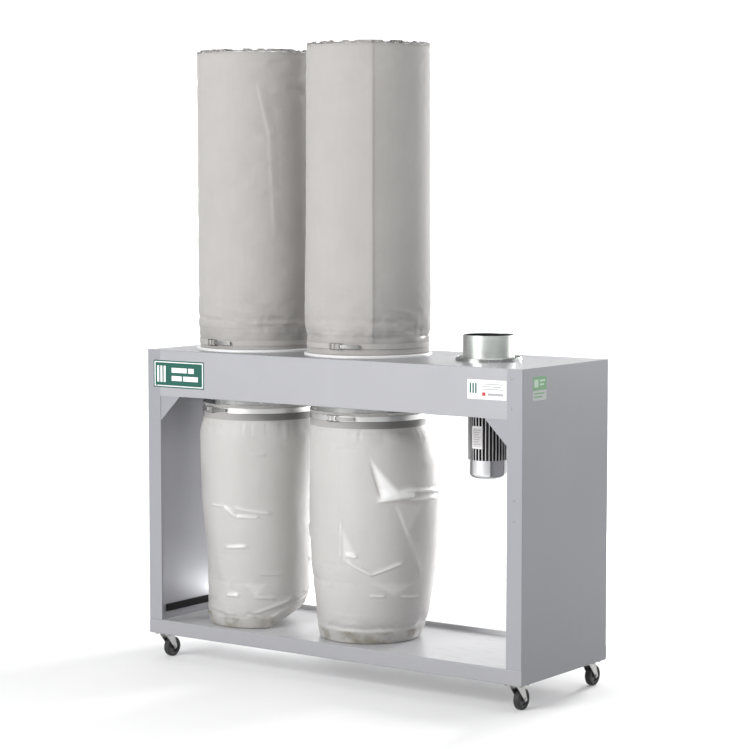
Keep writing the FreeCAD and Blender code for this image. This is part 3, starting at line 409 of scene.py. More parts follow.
def woven_tape(settings):
    """The cloth-coloured tape wound over the strap of a filter bag: a fine ribbed weave."""
    base = shade(settings.cloth_color, 1.12)
    finish = Finish("woven_tape", base, sheen_weight=0.2, specular_ior_level=0.2)
    height = finish.parts_of(finish.place())[2]
    ribs = finish.math("PINGPONG", height, 0.0008) * 1250.0
    worn = finish.grain(30.0, 3.0)
    mixed = ribs * 0.5 + worn * 0.5
    finish.feed("Base Color", finish.tint(mixed, shade(base, 0.88), shade(base, 1.06)))
    finish.feed("Roughness", 0.75 + worn * 0.12)
    finish.bump(ribs, 0.4, 0.0004)
    return finish.material


def sewing_thread(settings):
    """Twisted thread."""
    base = shade(settings.cloth_color, 0.8)
    finish = Finish("sewing_thread", base, sheen_weight=0.2)
    twist = finish.grain(1500.0, 1.0)
    finish.feed("Base Color", finish.tint(twist, shade(base, 0.8), shade(base, 1.1)))
    finish.feed("Roughness", 0.75 + twist * 0.15)
    finish.bump(twist, 0.4, 0.0004)
    return finish.material


def milky_film(settings, bag):
    """Milky bag film: clouded, glossy below its shoulders, with painted highlights along its creases
    and facets, darker where it lies tight over the steel collar (partly the collar showing through,
    partly painted shade), and darker olive along the folded bottom."""
    base = settings.film_color
    finish = Finish(bag.side + "_milky_film", base, specular_ior_level=0.6, coat_roughness=0.12)
    finish.feed("Subsurface Weight", 0.5)
    finish.feed("Subsurface Radius", (20 * MM, 20 * MM, 20 * MM))
    cloud = finish.grain(4.5, 4.0)
    fine = finish.grain(120.0, 3.0)
    x, y, height = finish.parts_of(finish.place())
    skin = finish.tint(cloud, shade(base, 0.93), shade(base, 1.04))
    # A darker olive band along the folded bottom.
    hem = finish.band(height, bag.floor + 6 * MM, bag.floor + 46 * MM, 10 * MM)
    hem = hem * finish.step(finish.grain(14.0, 3.0), 0.35, 0.7)
    folded = finish.tint(hem * 0.85, skin, (0.2, 0.18, 0.12))
    across = (x - bag.axis.x) * HANG.x + (y - bag.axis.y) * HANG.y
    # Darker band over the collar: partly the collar showing through the film, partly painted shade,
    # deepened as painted shade towards the right-rear, away from the key light.
    collar_tint_and_shade = finish.band(height, bag.lip + 2 * MM, bag.band_low, 3 * MM)
    collar_tint_and_shade = collar_tint_and_shade * (0.45 + 0.55 * finish.step(across, -0.2, 0.12))
    # Painted highlight: the film is whiter along the creases' crests and on the facets, where light
    # would glint.
    crease_highlight = finish.node("ShaderNodeAttribute", {"attribute_name": "whitening"}, None, 2)
    folded = finish.tint(crease_highlight, folded, (0.86, 0.86, 0.85))
    finish.feed("Base Color", finish.tint(collar_tint_and_shade, folded, (0.16, 0.155, 0.148)))
    # The film is duller where it is stretched over the shoulders than where it hangs.
    hanging = 1 - finish.step(height, bag.lip - 0.26, bag.lip - 0.16)
    finish.feed("Roughness", 0.5 - hanging * 0.12 + cloud * 0.08)
    finish.feed("Coat Weight", hanging * (0.28 + cloud * 0.1))
    finish.bump(fine, 0.12, 0.0006)
    return finish.material


def enamel(name, base, roughness=0.35):
    """Printed enamel on a thin plate."""
    return clouded(name, base, 40.0, (0.96, 1.04), (roughness, 0.1), (900.0, 0.05, 0.0002),
                   coat_weight=0.15)


# ---- Mesh helpers ------------------------------------------------------------------------------
def new_piece(name, mesh, materials, body, replaced=()):
    """Links a mesh as a piece that rides on a body and takes its finish from a slot."""
    piece = bpy.data.objects.new(name, mesh)
    bpy.context.scene.collection.objects.link(piece)
    for material in materials:
        mesh.materials.append(material)
    if body:
        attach(piece, body)
    if replaced:
        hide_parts(*replaced)
    return piece


def ring_rows(rows, around, close_low=False, close_high=False):
    """A mesh from rows of points that each go once round, as (vertices, faces)."""
    vertices = [p for row in rows for p in row]
    faces = []
    for j in range(len(rows) - 1):
        for i in range(around):
            a = j * around + i
            b = j * around + (i + 1) % around
            faces.append((a, b, b + around, a + around))
    if close_low:
        vertices.append(sum((Vector(p) for p in rows[0]), Vector()) / around)
        middle = len(vertices) - 1
        faces += [(middle, (i + 1) % around, i) for i in range(around)]
    if close_high:
        vertices.append(sum((Vector(p) for p in rows[-1]), Vector()) / around)
        middle = len(vertices) - 1
        start = (len(rows) - 1) * around
        faces += [(middle, start + i, start + (i + 1) % around) for i in range(around)]
    return vertices, faces


def mesh_from(name, vertices, faces):
    """A smooth-shaded Blender mesh from points and faces."""
    mesh = bpy.data.meshes.new(name)
    mesh.from_pydata([tuple(v) for v in vertices], [], faces)
    mesh.validate()
    mesh.shade_smooth()
    return mesh


def outward(azimuth):
    """The level direction at an azimuth."""
    return Vector((math.cos(azimuth), math.sin(azimuth), 0))


def smooth_step(value, low, high):
    """A smooth rise from 0 to 1 between two values."""
    share = min(1.0, max(0.0, (value - low) / (high - low)))
    return share * share * (3 - 2 * share)


def lump(azimuth, z, waves, per_metre, seed):
    """Smooth noise from -1 to 1 on an upright tube."""
    spot = Vector((math.cos(azimuth) * waves, math.sin(azimuth) * waves, z * per_metre + seed))
    return noise.noise(spot)


def turn_between(azimuth, other):
    """The signed turn from one azimuth to another, from -pi to pi."""
    return (other - azimuth + math.pi) % TAU - math.pi


# ---- Settling soft skins -----------------------------------------------------------------------
# How many frames the cloth simulation runs for.
SETTLE_FRAMES = 14


def settle(piece, held, growth, stiffness, bending, pressure, cap):
    """Lets a soft skin find its own folds by cloth simulation, with some of its points held.

    growth is the share by which the skin is larger than the space it hangs in, and cap is the
    furthest that a point may move, in metres."""
    before = [vertex.co.copy() for vertex in piece.data.vertices]
    group = piece.vertex_groups.new(name="held")
    group.add(held, 1.0, "REPLACE")
    cloth = piece.modifiers.new("cloth", "CLOTH")
    settings = cloth.settings
    settings.quality = 5
    settings.mass = 0.1
    settings.tension_stiffness = settings.compression_stiffness = stiffness
    settings.shear_stiffness = stiffness * 0.5
    settings.bending_stiffness = bending
    settings.air_damping = 3.0
    settings.vertex_group_mass = "held"
    settings.shrink_min = -growth
    settings.effector_weights.gravity = 0.0
    settings.use_pressure = True
    settings.uniform_pressure_force = pressure
    cloth.collision_settings.use_collision = False
    cloth.point_cache.frame_end = SETTLE_FRAMES
    scene = bpy.context.scene
    for number in range(1, SETTLE_FRAMES + 1):
        scene.frame_set(number)
    shaped = piece.evaluated_get(bpy.context.evaluated_depsgraph_get()).data
    after = [vertex.co.copy() for vertex in shaped.vertices]
    piece.modifiers.remove(cloth)
    piece.vertex_groups.remove(group)
    for vertex, old, new in zip(piece.data.vertices, before, after):
        step = new - old
        if step.length > 0:
            vertex.co = old + step * (cap * math.tanh(step.length / cap) / step.length)
    scene.frame_set(1)


def refine(piece):
    """Rounds a skin off with one level of subdivision, and keeps the result as its mesh."""
    rounding = piece.modifiers.new("rounding", "SUBSURF")
    rounding.levels = rounding.render_levels = 1
    rounded = piece.evaluated_get(bpy.context.evaluated_depsgraph_get())
    finer = bpy.data.meshes.new_from_object(rounded)
    piece.modifiers.remove(rounding)
    coarse = piece.data
    name = coarse.name
    piece.data = finer
    bpy.data.meshes.remove(coarse)
    finer.name = name


def press_details(piece, axis, depth_at):
    """Moves each point of a skin outward by a depth that depends on its azimuth and height."""
    for vertex in piece.data.vertices:
        flat = Vector((vertex.co.x - axis.x, vertex.co.y - axis.y, 0))
        depth = depth_at(math.atan2(flat.y, flat.x), vertex.co.z)
        if depth:
            vertex.co += flat.normalized() * depth


def paint_highlights(piece, axis, share_at):
    """Notes at each point how strong the painted highlight on the film is, for its finish to read."""
    shares = piece.data.attributes.new("whitening", "FLOAT", "POINT")
    for share, vertex in zip(shares.data, piece.data.vertices):
        spot = vertex.co - axis
        share.value = share_at(math.atan2(spot.y, spot.x), vertex.co.z)


def thicken(piece, name, thickness):
    """Gives a skin its thickness, inward."""
    thick = piece.modifiers.new(name, "SOLIDIFY")
    thick.thickness = thickness
    thick.offset = -1


def ridge(azimuth, z, radius, line):
    """A sharp fold along a line on the tube.

    The line is (azimuth, z, azimuth, z, depth, width above, width below) in degrees, metres and, for
    the last three, millimetres. An eighth number is the fold's flare: 0 fades it at both ends, and 1
    lets it grow from its first end to its last."""
    a0, z0, a1, z1 = line[:4]
    depth, above, below = (size * MM for size in line[4:7])
    flare = line[7] if len(line) > 7 else 0.0
    x, y = turn_between(math.radians(a0), azimuth) * radius, z - z0
    ex, ey = turn_between(math.radians(a0), math.radians(a1)) * radius, z1 - z0
    length = math.hypot(ex, ey)
    along = (x * ex + y * ey) / length / length
    if along < -0.1 or along > 1.1:
        return 0.0
    across = (y * ex - x * ey) / length * math.copysign(1, ex)
    size = 1 - flare + flare * max(0.05, along)
    fall = 1 - abs(across) / ((above if across > 0 else below) * size)
    fade = smooth_step(along, -0.1, 0.15 + 0.1 * flare) * (1 - smooth_step(along, 0.85, 1.1))
    return depth * size * fade * max(0.0, fall)


def inside_triangle(azimuth, z, radius, corners, soft):
    """1 inside a triangle of (azimuth, z) corners on the tube, fading to 0 at its edges."""
    spots = [(turn_between(math.radians(a), azimuth) * -radius, height - z) for a, height in corners]
    nearest = math.inf
    for k in range(3):
        (x0, y0), (x1, y1), (x2, y2) = spots[k], spots[(k + 1) % 3], spots[(k + 2) % 3]
        side = math.hypot(x1 - x0, y1 - y0)
        depth = (x1 * y0 - x0 * y1) / side
        turned = ((x1 - x2) * (y0 - y2) - (x0 - x2) * (y1 - y2)) / side
        nearest = min(nearest, depth * math.copysign(1, turned))
    return smooth_step(nearest, 0.0, soft)


# ---- Cloth filter bags -------------------------------------------------------------------------
# The cloth's sharp folds, as lines for ridge().
FELT_FOLDS = {
    "left": (
        (-52, 2.335, -40, 2.118, 3.6, 34, 9),
        (-41, 2.14, -36, 1.75, 2.2, 30, 14),
        (-118, 1.418, -62, 1.398, 4.0, 16, 9),
        (-96, 1.452, -58, 1.428, 3.0, 14, 9),
        (-74, 1.49, -40, 1.462, 2.2, 12, 12),
        (-60, 1.386, -18, 1.39, 2.4, 12, 8),
    ),
    "right": (
        (-104, 1.408, -60, 1.396, 2.2, 12, 8),
        (-44, 1.47, -10, 1.44, 2.6, 16, 10),
        (-40, 1.43, -16, 1.40, 2.4, 12, 8),
        (-84, 1.545, -62, 1.535, 1.4, 12, 8),
    ),
}
# How far each bag was turned when it was put on, in degrees.
FELT_TURN = {"left": 165.0, "right": 0.0}
# How far the seam stands out as a corner on each bag, and how quickly that dies away.
FELT_CORNER = {"left": (2.0 * MM, 60 * MM), "right": (13.0 * MM, 46 * MM)}


class FeltBag:
    """The shape of one cloth bag: how far out its skin stands at each azimuth and height."""

    def __init__(self, side, settings):
        self.side = side
        self.settings = settings
        low, high = low_high(side + "_filter_bag")
        self.middle = (low + high) / 2
        self.radius = (high.x - low.x) / 2
        self.bottom = low.z
        self.top = high.z - settings.edge_height
        band_low, band_high = low_high(side + "_filter_band")
        self.band = (band_low.z + band_high.z) / 2
        self.seam = math.radians(settings.seam_angle + FELT_TURN[side])
        self.seed = 3.1 if side == "left" else 11.7
        self.lean = Vector((-9 * MM, 0, 0)) if side == "left" else Vector((1 * MM, 0, 0))
        self.folds = FELT_FOLDS[side]
        self.corner, self.corner_reach = FELT_CORNER[side]

    def base(self, azimuth, z):
        """The slack skin's distance from the axis before it settles."""
        free = smooth_step(z, self.band + 12 * MM, self.band + 90 * MM)
        rise = (z - self.band) / (self.top - self.band)
        calm = 1 - 0.65 * smooth_step(z, self.top - 160 * MM, self.top)
        depth = self.settings.fold_depth
        soft = lump(azimuth, z, 1.4, 1.3, self.seed) * depth
        folds = lump(azimuth, z, 3.2, 1.1, self.seed + 5) * depth * 0.3
        flare = 5 * MM * free * (1 - smooth_step(rise, 0.0, 0.9))
        tuck = -1.2 * MM * (1 - smooth_step(abs(z - self.band), 11 * MM, 15 * MM))
        return self.radius + (soft + folds) * calm * free + flare + tuck

    def detail(self, azimuth, z):
        """The seam's ridge and corner, and the sharp folds."""
        above = z - self.band
        if above < 8 * MM or z > self.top:
            return 0.0
        free = smooth_step(above, 8 * MM, 60 * MM)
        arc = abs(turn_between(self.seam, azimuth)) * self.radius
        corner = self.corner * math.exp(-arc / self.corner_reach)
        corner *= 1 - 0.6 * smooth_step(z, self.top - 0.2, self.top)
        seam = 2.2 * MM * math.exp(-(arc / (4.5 * MM)) ** 2)
        gather = lump(azimuth, 0, 9.0, 0, self.seed + 2)
        gather += 0.5 * lump(azimuth, z, 17.0, 3.0, self.seed + 3)
        gather *= 2.4 * MM * (1 - smooth_step(above, 30 * MM, 150 * MM))
        wrinkle = lump(azimuth, z, 2.0, 22.0, self.seed + 6) * 2.2 * MM
        wrinkle *= 1 - smooth_step(above, 90 * MM, 260 * MM)
        marks = sum(ridge(azimuth, z, self.radius, line) for line in self.folds)
        return (corner + seam + gather + wrinkle) * free + marks

    def place(self, azimuth, z, r):
        """The point at a distance from the bag's leaning axis."""
        share = (z - self.bottom) / (self.top - self.bottom)
        x = self.middle.x + r * math.cos(azimuth)
        y = self.middle.y + r * math.sin(azimuth)
        return Vector((x, y, z)) + self.lean * share * share

    def point(self, azimuth, z, out=0.0):
        """A point on the finished skin, or a little proud of it."""
        return self.place(azimuth, z, self.base(azimuth, z) + self.detail(azimuth, z) + out)


def felt_sleeve(bag, materials):
    """The sleeve with its sewn-in round top, as one skin."""
    around, up = 150, 112
    heights = [bag.bottom + (bag.top - bag.bottom) * (j / up) for j in range(up + 1)]
    azimuths = [TAU * i / around for i in range(around)]
    rows = [[bag.place(a, z, bag.base(a, z)) for a in azimuths] for z in heights]
    rim = rows[-1]
    centre = sum(rim, Vector()) / around
    for inset in (0.96, 0.88, 0.76, 0.6, 0.42, 0.22, 0.08):
        row = []
        for i, place in enumerate(rim):
            spot = centre + (place - centre) * inset
            pucker = math.cos(azimuths[i] * 31 + bag.seed) * 1.3 * MM * smooth_step(inset, 0.75, 0.98)
            sag = 13 * MM * (1 - inset ** 2) + 4 * MM * noise.noise(spot * 9)
            spot.z = bag.top - sag + pucker
            row.append(spot)
        rows.append(row)
    vertices, faces = ring_rows(rows, around, close_high=True)
    name = bag.side + "_filter_bag_cloth"
    mesh = mesh_from(name, vertices, faces)
    piece = new_piece(name, mesh, materials[:1], "frame", (bag.side + "_filter_bag",))
    held = [k for k, spot in enumerate(vertices)
            if spot.z < bag.band + 18 * MM or spot.z > bag.top - 26 * MM]
    settle(piece, held, growth=0.006, stiffness=15.0, bending=0.6, pressure=0.6, cap=6 * MM)
    refine(piece)
    press_details(piece, bag.middle, bag.detail)
    thicken(piece, "cloth_thickness", 2 * MM)
    return piece


# The sewn edge's section, round from its outer foot to its inner one: the share of its height, and
# how far out it stands from the edge's middle in millimetres.
OVERLOCK_SECTION = (
    (0.0, 1.2), (0.3, 1.6), (0.7, 1.4), (1.0, 0.9), (1.0, -0.9), (0.7, -1.4), (0.0, -1.2),
)


def overlock_edge(bag, materials):
    """The ruffled seam allowance that stands up round the top."""
    around = 720
    height = bag.settings.edge_height
    rows = []
    for share, out in OVERLOCK_SECTION:
        row = []
        for i in range(around):
            a = TAU * i / around
            wobble = math.cos(a * 37 + 5 * lump(a, 0, 1.6, 1, bag.seed)) * 2.2 * MM
            wobble += math.cos(a * 83 + 2) * 0.8 * MM
            notch = smooth_step(lump(a, 0, 9.0, 1, bag.seed + 2), 0.0, 0.35) * 0.55
            crest = bag.point(a, bag.top, out * MM + wobble * share - 1.5 * MM)
            crest.z = bag.top - 1 * MM + height * share * (1 - notch * share)
            row.append(crest)
        rows.append(row)
    rows.append(rows[0])
    vertices, faces = ring_rows(rows, around)
    name = bag.side + "_filter_bag_edge"
    return new_piece(name, mesh_from(name, vertices, faces), materials[2:], "frame")


def stitch_run(name, places, material):
    """Short rounded stitches laid end to end along a list of (start, end, outward) triples."""
    shape = bmesh.new()
    for start, end, out in places:
        middle, along = (start + end) / 2, end - start
        side = along.cross(out).normalized()
        ring = []
        for share, size in ((-0.5, 0.25), (-0.3, 0.9), (0.0, 1.0), (0.3, 0.9), (0.5, 0.25)):
            spot = middle + along * share
            turns = [TAU * k / 6 for k in range(6)]
            ring.append([
                shape.verts.new(spot + (side * math.cos(t) + out * math.sin(t)) * 0.7 * MM * size)
                for t in turns
            ])
        for a, b in zip(ring, ring[1:]):
            for k in range(6):
                shape.faces.new((a[k], a[(k + 1) % 6], b[(k + 1) % 6], b[k]))
        shape.faces.new(ring[0][::-1])
        shape.faces.new(ring[-1])
    mesh = bpy.data.meshes.new(name)
    shape.to_mesh(mesh)
    shape.free()
    mesh.shade_smooth()
    return new_piece(name, mesh, [material], "frame")


def felt_stitches(bag, cloth, materials):
    """Two rows above the clamp band, one row under the top edge and two rows beside the seam."""
    corners = [vertex.co for vertex in cloth.data.vertices]
    skin = BVHTree.FromPolygons(corners, [face.vertices for face in cloth.data.polygons])

    def on_cloth(azimuth, z, out):
        return skin.find_nearest(bag.point(azimuth, z))[0] + out * 0.3 * MM

    runs = []
    for z in (bag.band + 42 * MM, bag.band + 60 * MM, bag.top - 8 * MM):
        count = 210
        for i in range(count):
            a, b = TAU * i / count, TAU * (i + 0.72) / count
            out = outward(a)
            runs.append((on_cloth(a, z, out), on_cloth(b, z, out), out))
    count = int((bag.top - bag.band) / (8 * MM))
    for side in (-1, 1):
        a = bag.seam + side * 7 * MM / bag.radius
        out = outward(a)
        for i in range(count):
            z = bag.band + 14 * MM + (bag.top - bag.band - 22 * MM) * i / count
            runs.append((on_cloth(a, z, out), on_cloth(a, z + 5.5 * MM, out), out))
    return stitch_run(bag.side + "_filter_bag_stitches", runs, materials[1])


# ---- Film dust bags ----------------------------------------------------------------------------
# Each bag's outline: the height above the tray as a share of the hanging length, then how far the
# skin stands from the collar's axis against the hang direction and along it.
FILM_OUTLINES = {
    "left": (
        (1.0, 231, 231), (0.93, 242, 229), (0.83, 243, 222), (0.61, 240, 208), (0.50, 233, 205),
        (0.35, 219, 204), (0.22, 213, 203), (0.13, 213, 203), (0.05, 214, 200), (0.0, 208, 190),
    ),
    "right": (
        (1.0, 231, 231), (0.95, 228, 252), (0.83, 228, 272), (0.70, 230, 284), (0.53, 231, 283),
        (0.36, 224, 275), (0.28, 217, 266), (0.14, 206, 250), (0.06, 200, 232), (0.0, 192, 208),
    ),
}
# The film's sharp folds, as lines for ridge().
FILM_FOLDS = {
    "left": (
        (-107, 0.650, -90, 0.646, 5.2, 14, 7),
        (-90, 0.646, -77, 0.606, 6.5, 14, 7),
        (-78, 0.605, -53, 0.605, 5.9, 13, 7),
        (-79, 0.642, -40, 0.618, 5.2, 14, 7),
        (-91, 0.477, -65, 0.483, 5.9, 13, 7),
        (-92, 0.281, -75, 0.281, 5.9, 13, 8),
        (-58, 0.275, -34, 0.272, 3.9, 10, 7),
        (-52, 0.372, -28, 0.368, 3.4, 14, 8),
        (-60, 0.860, -46, 0.859, 3.1, 12, 8),
        (-118, 0.215, -50, 0.196, 2.8, 14, 10),
        (-60, 0.21, -14, 0.262, 5.2, 14, 10),
        (70, 0.72, 118, 0.62, 7.8, 16, 9),
        (140, 0.50, 185, 0.55, 7.8, 16, 9),
        (20, 0.42, 66, 0.36, 6.5, 16, 9),
    ),
    "right": (
        (-54, 0.885, -42, 0.715, -7, 36, 7, 0.8),
        (-45, 0.718, -14, 0.736, 13, 46, 9),
        (-20, 0.722, 18, 0.712, 5.8, 15, 8),
        (-22, 0.759, 26, 0.735, 6.5, 13, 8),
        (-30, 0.709, -4, 0.415, 3.9, 22, 12),
        (-79.5, 0.640, -80.5, 0.485, 4.7, 12, 7),
        (-76, 0.502, -64, 0.496, 5.9, 18, 8),
        (-76, 0.480, -51, 0.427, 4.7, 14, 8),
        (-52, 0.427, -23, 0.474, 5.5, 13, 7),
        (-50, 0.388, -9, 0.378, 2.6, 22, 10),
        (-54, 0.344, -38, 0.342, 5.5, 12, 7),
        (-24, 0.338, -4, 0.330, 5.5, 12, 7),
        (-84.5, 0.99, -81, 0.50, 1.7, 6, 6),
        (-108, 0.200, -30, 0.196, 2.1, 12, 12),
        (50, 0.80, 104, 0.66, 9.1, 18, 9),
        (110, 0.50, 165, 0.44, 7.8, 16, 9),
        (-170, 0.62, -132, 0.55, 6.5, 16, 9),
    ),
}
# Where a painted highlight lies on a flat facet of the film: three (azimuth, z) corners and how white.
FILM_HIGHLIGHT_FACETS = {
    "left": (
        (((-108, 0.652), (-79, 0.606), (-70, 0.652)), 0.14),
        (((-74, 0.34), (-36, 0.35), (-56, 0.262)), 0.18),
    ),
    "right": (
        (((-55, 0.91), (-44, 0.706), (-23, 0.742)), 1.0),
        (((-34, 0.73), (-2, 0.70), (-22, 0.55)), 0.22),
        (((-82, 0.66), (-81, 0.475), (-60, 0.485)), 0.3),
        (((-56, 0.402), (-3, 0.396), (-30, 0.33)), 0.26),
    ),
}
# The radius at which a fold's azimuths are turned into distances.
FILM_RADIUS = 240 * MM
# The gathers under each strap: how deep they are and how far down they reach.
FILM_GATHERS = {"left": (2.4 * MM, 100 * MM), "right": (1.6 * MM, 70 * MM)}


class FilmBag:
    """The shape of one hanging film bag."""

    def __init__(self, side, settings):
        self.side = side
        self.settings = settings
        low, high = low_high(side + "_dust_collar")
        self.axis = Vector(((low.x + high.x) / 2, (low.y + high.y) / 2, 0))
        self.lip = low.z
        low, high = low_high(side + "_dust_bag")
        self.floor = low.z
        self.head = high.z
        band_low, band_high = low_high(side + "_dust_band")
        self.band_low, self.band_high = band_low.z, band_high.z
        self.neck = (band_high.x - band_low.x) / 2 - 2.4 * MM
        self.seed = 21.3 if side == "left" else 35.9
        self.folds = FILM_FOLDS[side]

    def spot(self, azimuth, radius, z):
        """A point round the bag's axis."""
        return self.axis + Vector((math.cos(azimuth) * radius, math.sin(azimuth) * radius, z))

    def outline(self, share):
        """The middle's shift along the hang direction and the radius, at a share of the length."""
        table = FILM_OUTLINES[self.side]
        against, along = table[-1][1:]
        for (s1, a1, b1), (s0, a0, b0) in zip(table, table[1:]):
            if share >= s0:
                k = smooth_step(share, s0, s1) * 0.5 + 0.5 * (share - s0) / (s1 - s0)
                against, along = a0 + (a1 - a0) * k, b0 + (b1 - b0) * k
                break
        return (along - against) / 2 * MM, (along + against) / 2 * MM

    def base(self, azimuth, z):
        """A point on the hanging skin before it settles."""
        share = (z - self.floor) / (self.lip - self.floor)
        shift, radius = self.outline(share)
        depth = self.settings.slack_depth
        free = smooth_step(self.lip + 4 * MM - z, 0.0, 90 * MM)
        low = 0.3 + 0.7 * smooth_step(z - self.floor, 0.0, 60 * MM)
        soft = lump(azimuth, z, 1.3, 2.0, self.seed) * depth
        facets = (0.25 - abs(lump(azimuth, z, 1.6, 2.6, self.seed + 3))) * depth * 0.8
        r = radius + (soft + facets) * free * low
        place = self.axis + HANG * shift + outward(azimuth) * r
        lift = 0.0
        if self.side == "left":
            across = (place - self.axis).dot(HANG)
            lift = max(0.0, across - 45 * MM) * 0.55 * (1 - smooth_step(share, 0.0, 0.22))
        place.z = z + lift
        return place

    def detail(self, azimuth, z):
        """The sharp folds, the fine crinkle and the gathers under the strap."""
        if z > self.lip or z < self.floor + 4 * MM:
            return 0.0
        depth, reach = FILM_GATHERS[self.side]
        drop = self.lip - z
        below = smooth_step(drop, 0.0, 14 * MM) * (1 - smooth_step(drop, 16 * MM, reach))
        gather = abs(lump(azimuth, z, 13.0, 1.5, self.seed)) * -depth * 2 * below
        crinkle = abs(lump(azimuth, z, 5.0, 9.0, self.seed + 7)) * -self.settings.crinkle_depth
        crinkle *= smooth_step(drop, 0.0, 60 * MM) * smooth_step(z - self.floor, 0.0, 40 * MM)
        marks = sum(ridge(azimuth, z, FILM_RADIUS, line) for line in self.folds)
        return gather + crinkle + marks

    def whitening(self, azimuth, z):
        """How strong the painted highlight is, from 0 to 1: along the creases' crests and on the
        facets.
        """
        if z > self.lip or z < self.floor + 50 * MM:
            return 0.0
        crest = max(ridge(azimuth, z, FILM_RADIUS, line) for line in self.folds)
        facet = max(white * inside_triangle(azimuth, z, FILM_RADIUS, corners, 24 * MM)
                    for corners, white in FILM_HIGHLIGHT_FACETS[self.side])
        return max(facet, 0.6 * smooth_step(crest, 1.8 * MM, 6.5 * MM))


def film_skin(bag, material):
    """The film from its ruffled head down over the band to the folded bottom on the tray."""
    around, levels = 180, 104
    azimuths = [TAU * i / around for i in range(around)]
    bottom = bag.floor + 1.5 * MM
    rows = []
    for inset in (0.1, 0.35, 0.6, 0.8, 0.92, 0.98):
        row = []
        for a in azimuths:
            rim = bag.base(a, bottom)
            spot = bag.axis + (rim - bag.axis) * inset
            fold = abs(math.sin(a * 5 + lump(a, 0, 2.0, 1.0, bag.seed) * 3)) * 4 * MM * (1 - inset)
            spot.z = rim.z + fold - 0.5 * MM * inset
            row.append(spot)
        rows.append(row)
    for j in range(levels + 1):
        z = bottom + (bag.lip - bottom) * j / levels
        rows.append([bag.base(a, z) for a in azimuths])
    first_free, last_free = 8 * around, (len(rows) - 3) * around
    straight = [bag.lip + (bag.band_low - bag.lip) * j / 4 for j in range(1, 5)]
    straight += [bag.band_low + (bag.band_high - bag.band_low) * j / 3 for j in range(1, 4)]
    for z in straight:
        rows.append([bag.spot(a, bag.neck, z) for a in azimuths])
    for j in range(1, 6):
        share = j / 5
        row = []
        for a in azimuths:
            frill = math.sin(a * 29 + 4 * lump(a, 0, 2.2, 1.0, bag.seed)) * 3.2 * MM
            height = (bag.head - bag.band_high) * (0.8 + 0.2 * lump(a, 0, 5.0, 1.0, bag.seed + 4))
            r = bag.neck + (abs(frill) + 0.8 * MM) * share
            row.append(bag.spot(a, r, bag.band_high + height * share))
        rows.append(row)
    vertices, faces = ring_rows(rows, around, close_low=True)
    name = bag.side + "_dust_bag_film"
    piece = new_piece(name, mesh_from(name, vertices, faces), [material], "frame",
                      (bag.side + "_dust_bag",))
    held = [k for k in range(len(vertices)) if k < first_free or k > last_free]
    settle(piece, held, growth=0.006, stiffness=8.0, bending=0.05, pressure=0.8, cap=6 * MM)
    refine(piece)
    press_details(piece, bag.axis, bag.detail)
    paint_highlights(piece, bag.axis, bag.whitening)
    thicken(piece, "film_thickness", 0.25 * MM)
    return piece


# ---- Printed plates ----------------------------------------------------------------------------
def printed_plate(name, origin, across, up, size, thickness, prints, materials):
    """A thin plate whose face is cut into cells, each in the ground's or a print's material.

    prints are (left, bottom, right, top, material index) in shares of the face, later ones on top."""
    out = across.cross(up).normalized()
    xs = sorted({0.0, 1.0} | {v for p in prints for v in (p[0], p[2])})
    ys = sorted({0.0, 1.0} | {v for p in prints for v in (p[1], p[3])})
    shape = bmesh.new()

    def spot(x, y, depth):
        return origin + across * size[0] * x + up * size[1] * y + out * depth

    grid = [[shape.verts.new(spot(x, y, thickness)) for x in xs] for y in ys]
    for j in range(len(ys) - 1):
        for i in range(len(xs) - 1):
            face = shape.faces.new((grid[j][i], grid[j][i + 1], grid[j + 1][i + 1], grid[j + 1][i]))
            cx, cy = (xs[i] + xs[i + 1]) / 2, (ys[j] + ys[j + 1]) / 2
            for left, bottom, right, top, index in prints:
                if left < cx < right and bottom < cy < top:
                    face.material_index = index
    rim = grid[0] + [row[-1] for row in grid[1:]] + grid[-1][-2::-1]
    rim += [row[0] for row in grid[-2:0:-1]]
    back = [shape.verts.new(v.co - out * thickness) for v in rim]
    for k in range(len(rim)):
        n = (k + 1) % len(rim)
        shape.faces.new((rim[k], back[k], back[n], rim[n]))
    shape.faces.new(back[::-1])
    bmesh.ops.recalc_face_normals(shape, faces=shape.faces)
    mesh = bpy.data.meshes.new(name)
    shape.to_mesh(mesh)
    shape.free()
    return new_piece(name, mesh, materials, "frame")


# ---- Properties --------------------------------------------------------------------------------
class FeltBagSettings(bpy.types.PropertyGroup):
    """Sizes and colour of the cloth filter bags."""

    fold_depth: FloatProperty(
        name="Fold depth", description="How deep the cloth's soft folds are",
        default=5 * MM, unit="LENGTH", min=0.0, max=0.03,
    )
    edge_height: FloatProperty(
        name="Edge height", description="Height of the sewn edge round the top",
        default=11 * MM, unit="LENGTH", min=0.001, max=0.05,
    )
    seam_angle: FloatProperty(
        name="Seam angle", description="Azimuth of the upright seam, in degrees from +X",
        default=-51.0, min=-180.0, max=180.0,
    )
    cloth_color: FloatVectorProperty(
        name="Cloth colour", description="Base colour of the filter felt",
        default=(0.365, 0.351, 0.338), subtype="COLOR", min=0.0, max=1.0,
    )


class FilmBagSettings(bpy.types.PropertyGroup):
    """Sizes and colour of the film dust bags."""

    slack_depth: FloatProperty(
        name="Slack depth", description="How deep the film's soft waves are",
        default=6 * MM, unit="LENGTH", min=0.0, max=0.04,
    )
    crinkle_depth: FloatProperty(
        name="Crinkle depth", description="How deep the film's small crinkles are",
        default=0.8 * MM, unit="LENGTH", min=0.0, max=0.02,
    )
    film_color: FloatVectorProperty(
        name="Film colour", description="Base colour of the milky film",
        default=(0.47, 0.457, 0.444), subtype="COLOR", min=0.0, max=1.0,
    )


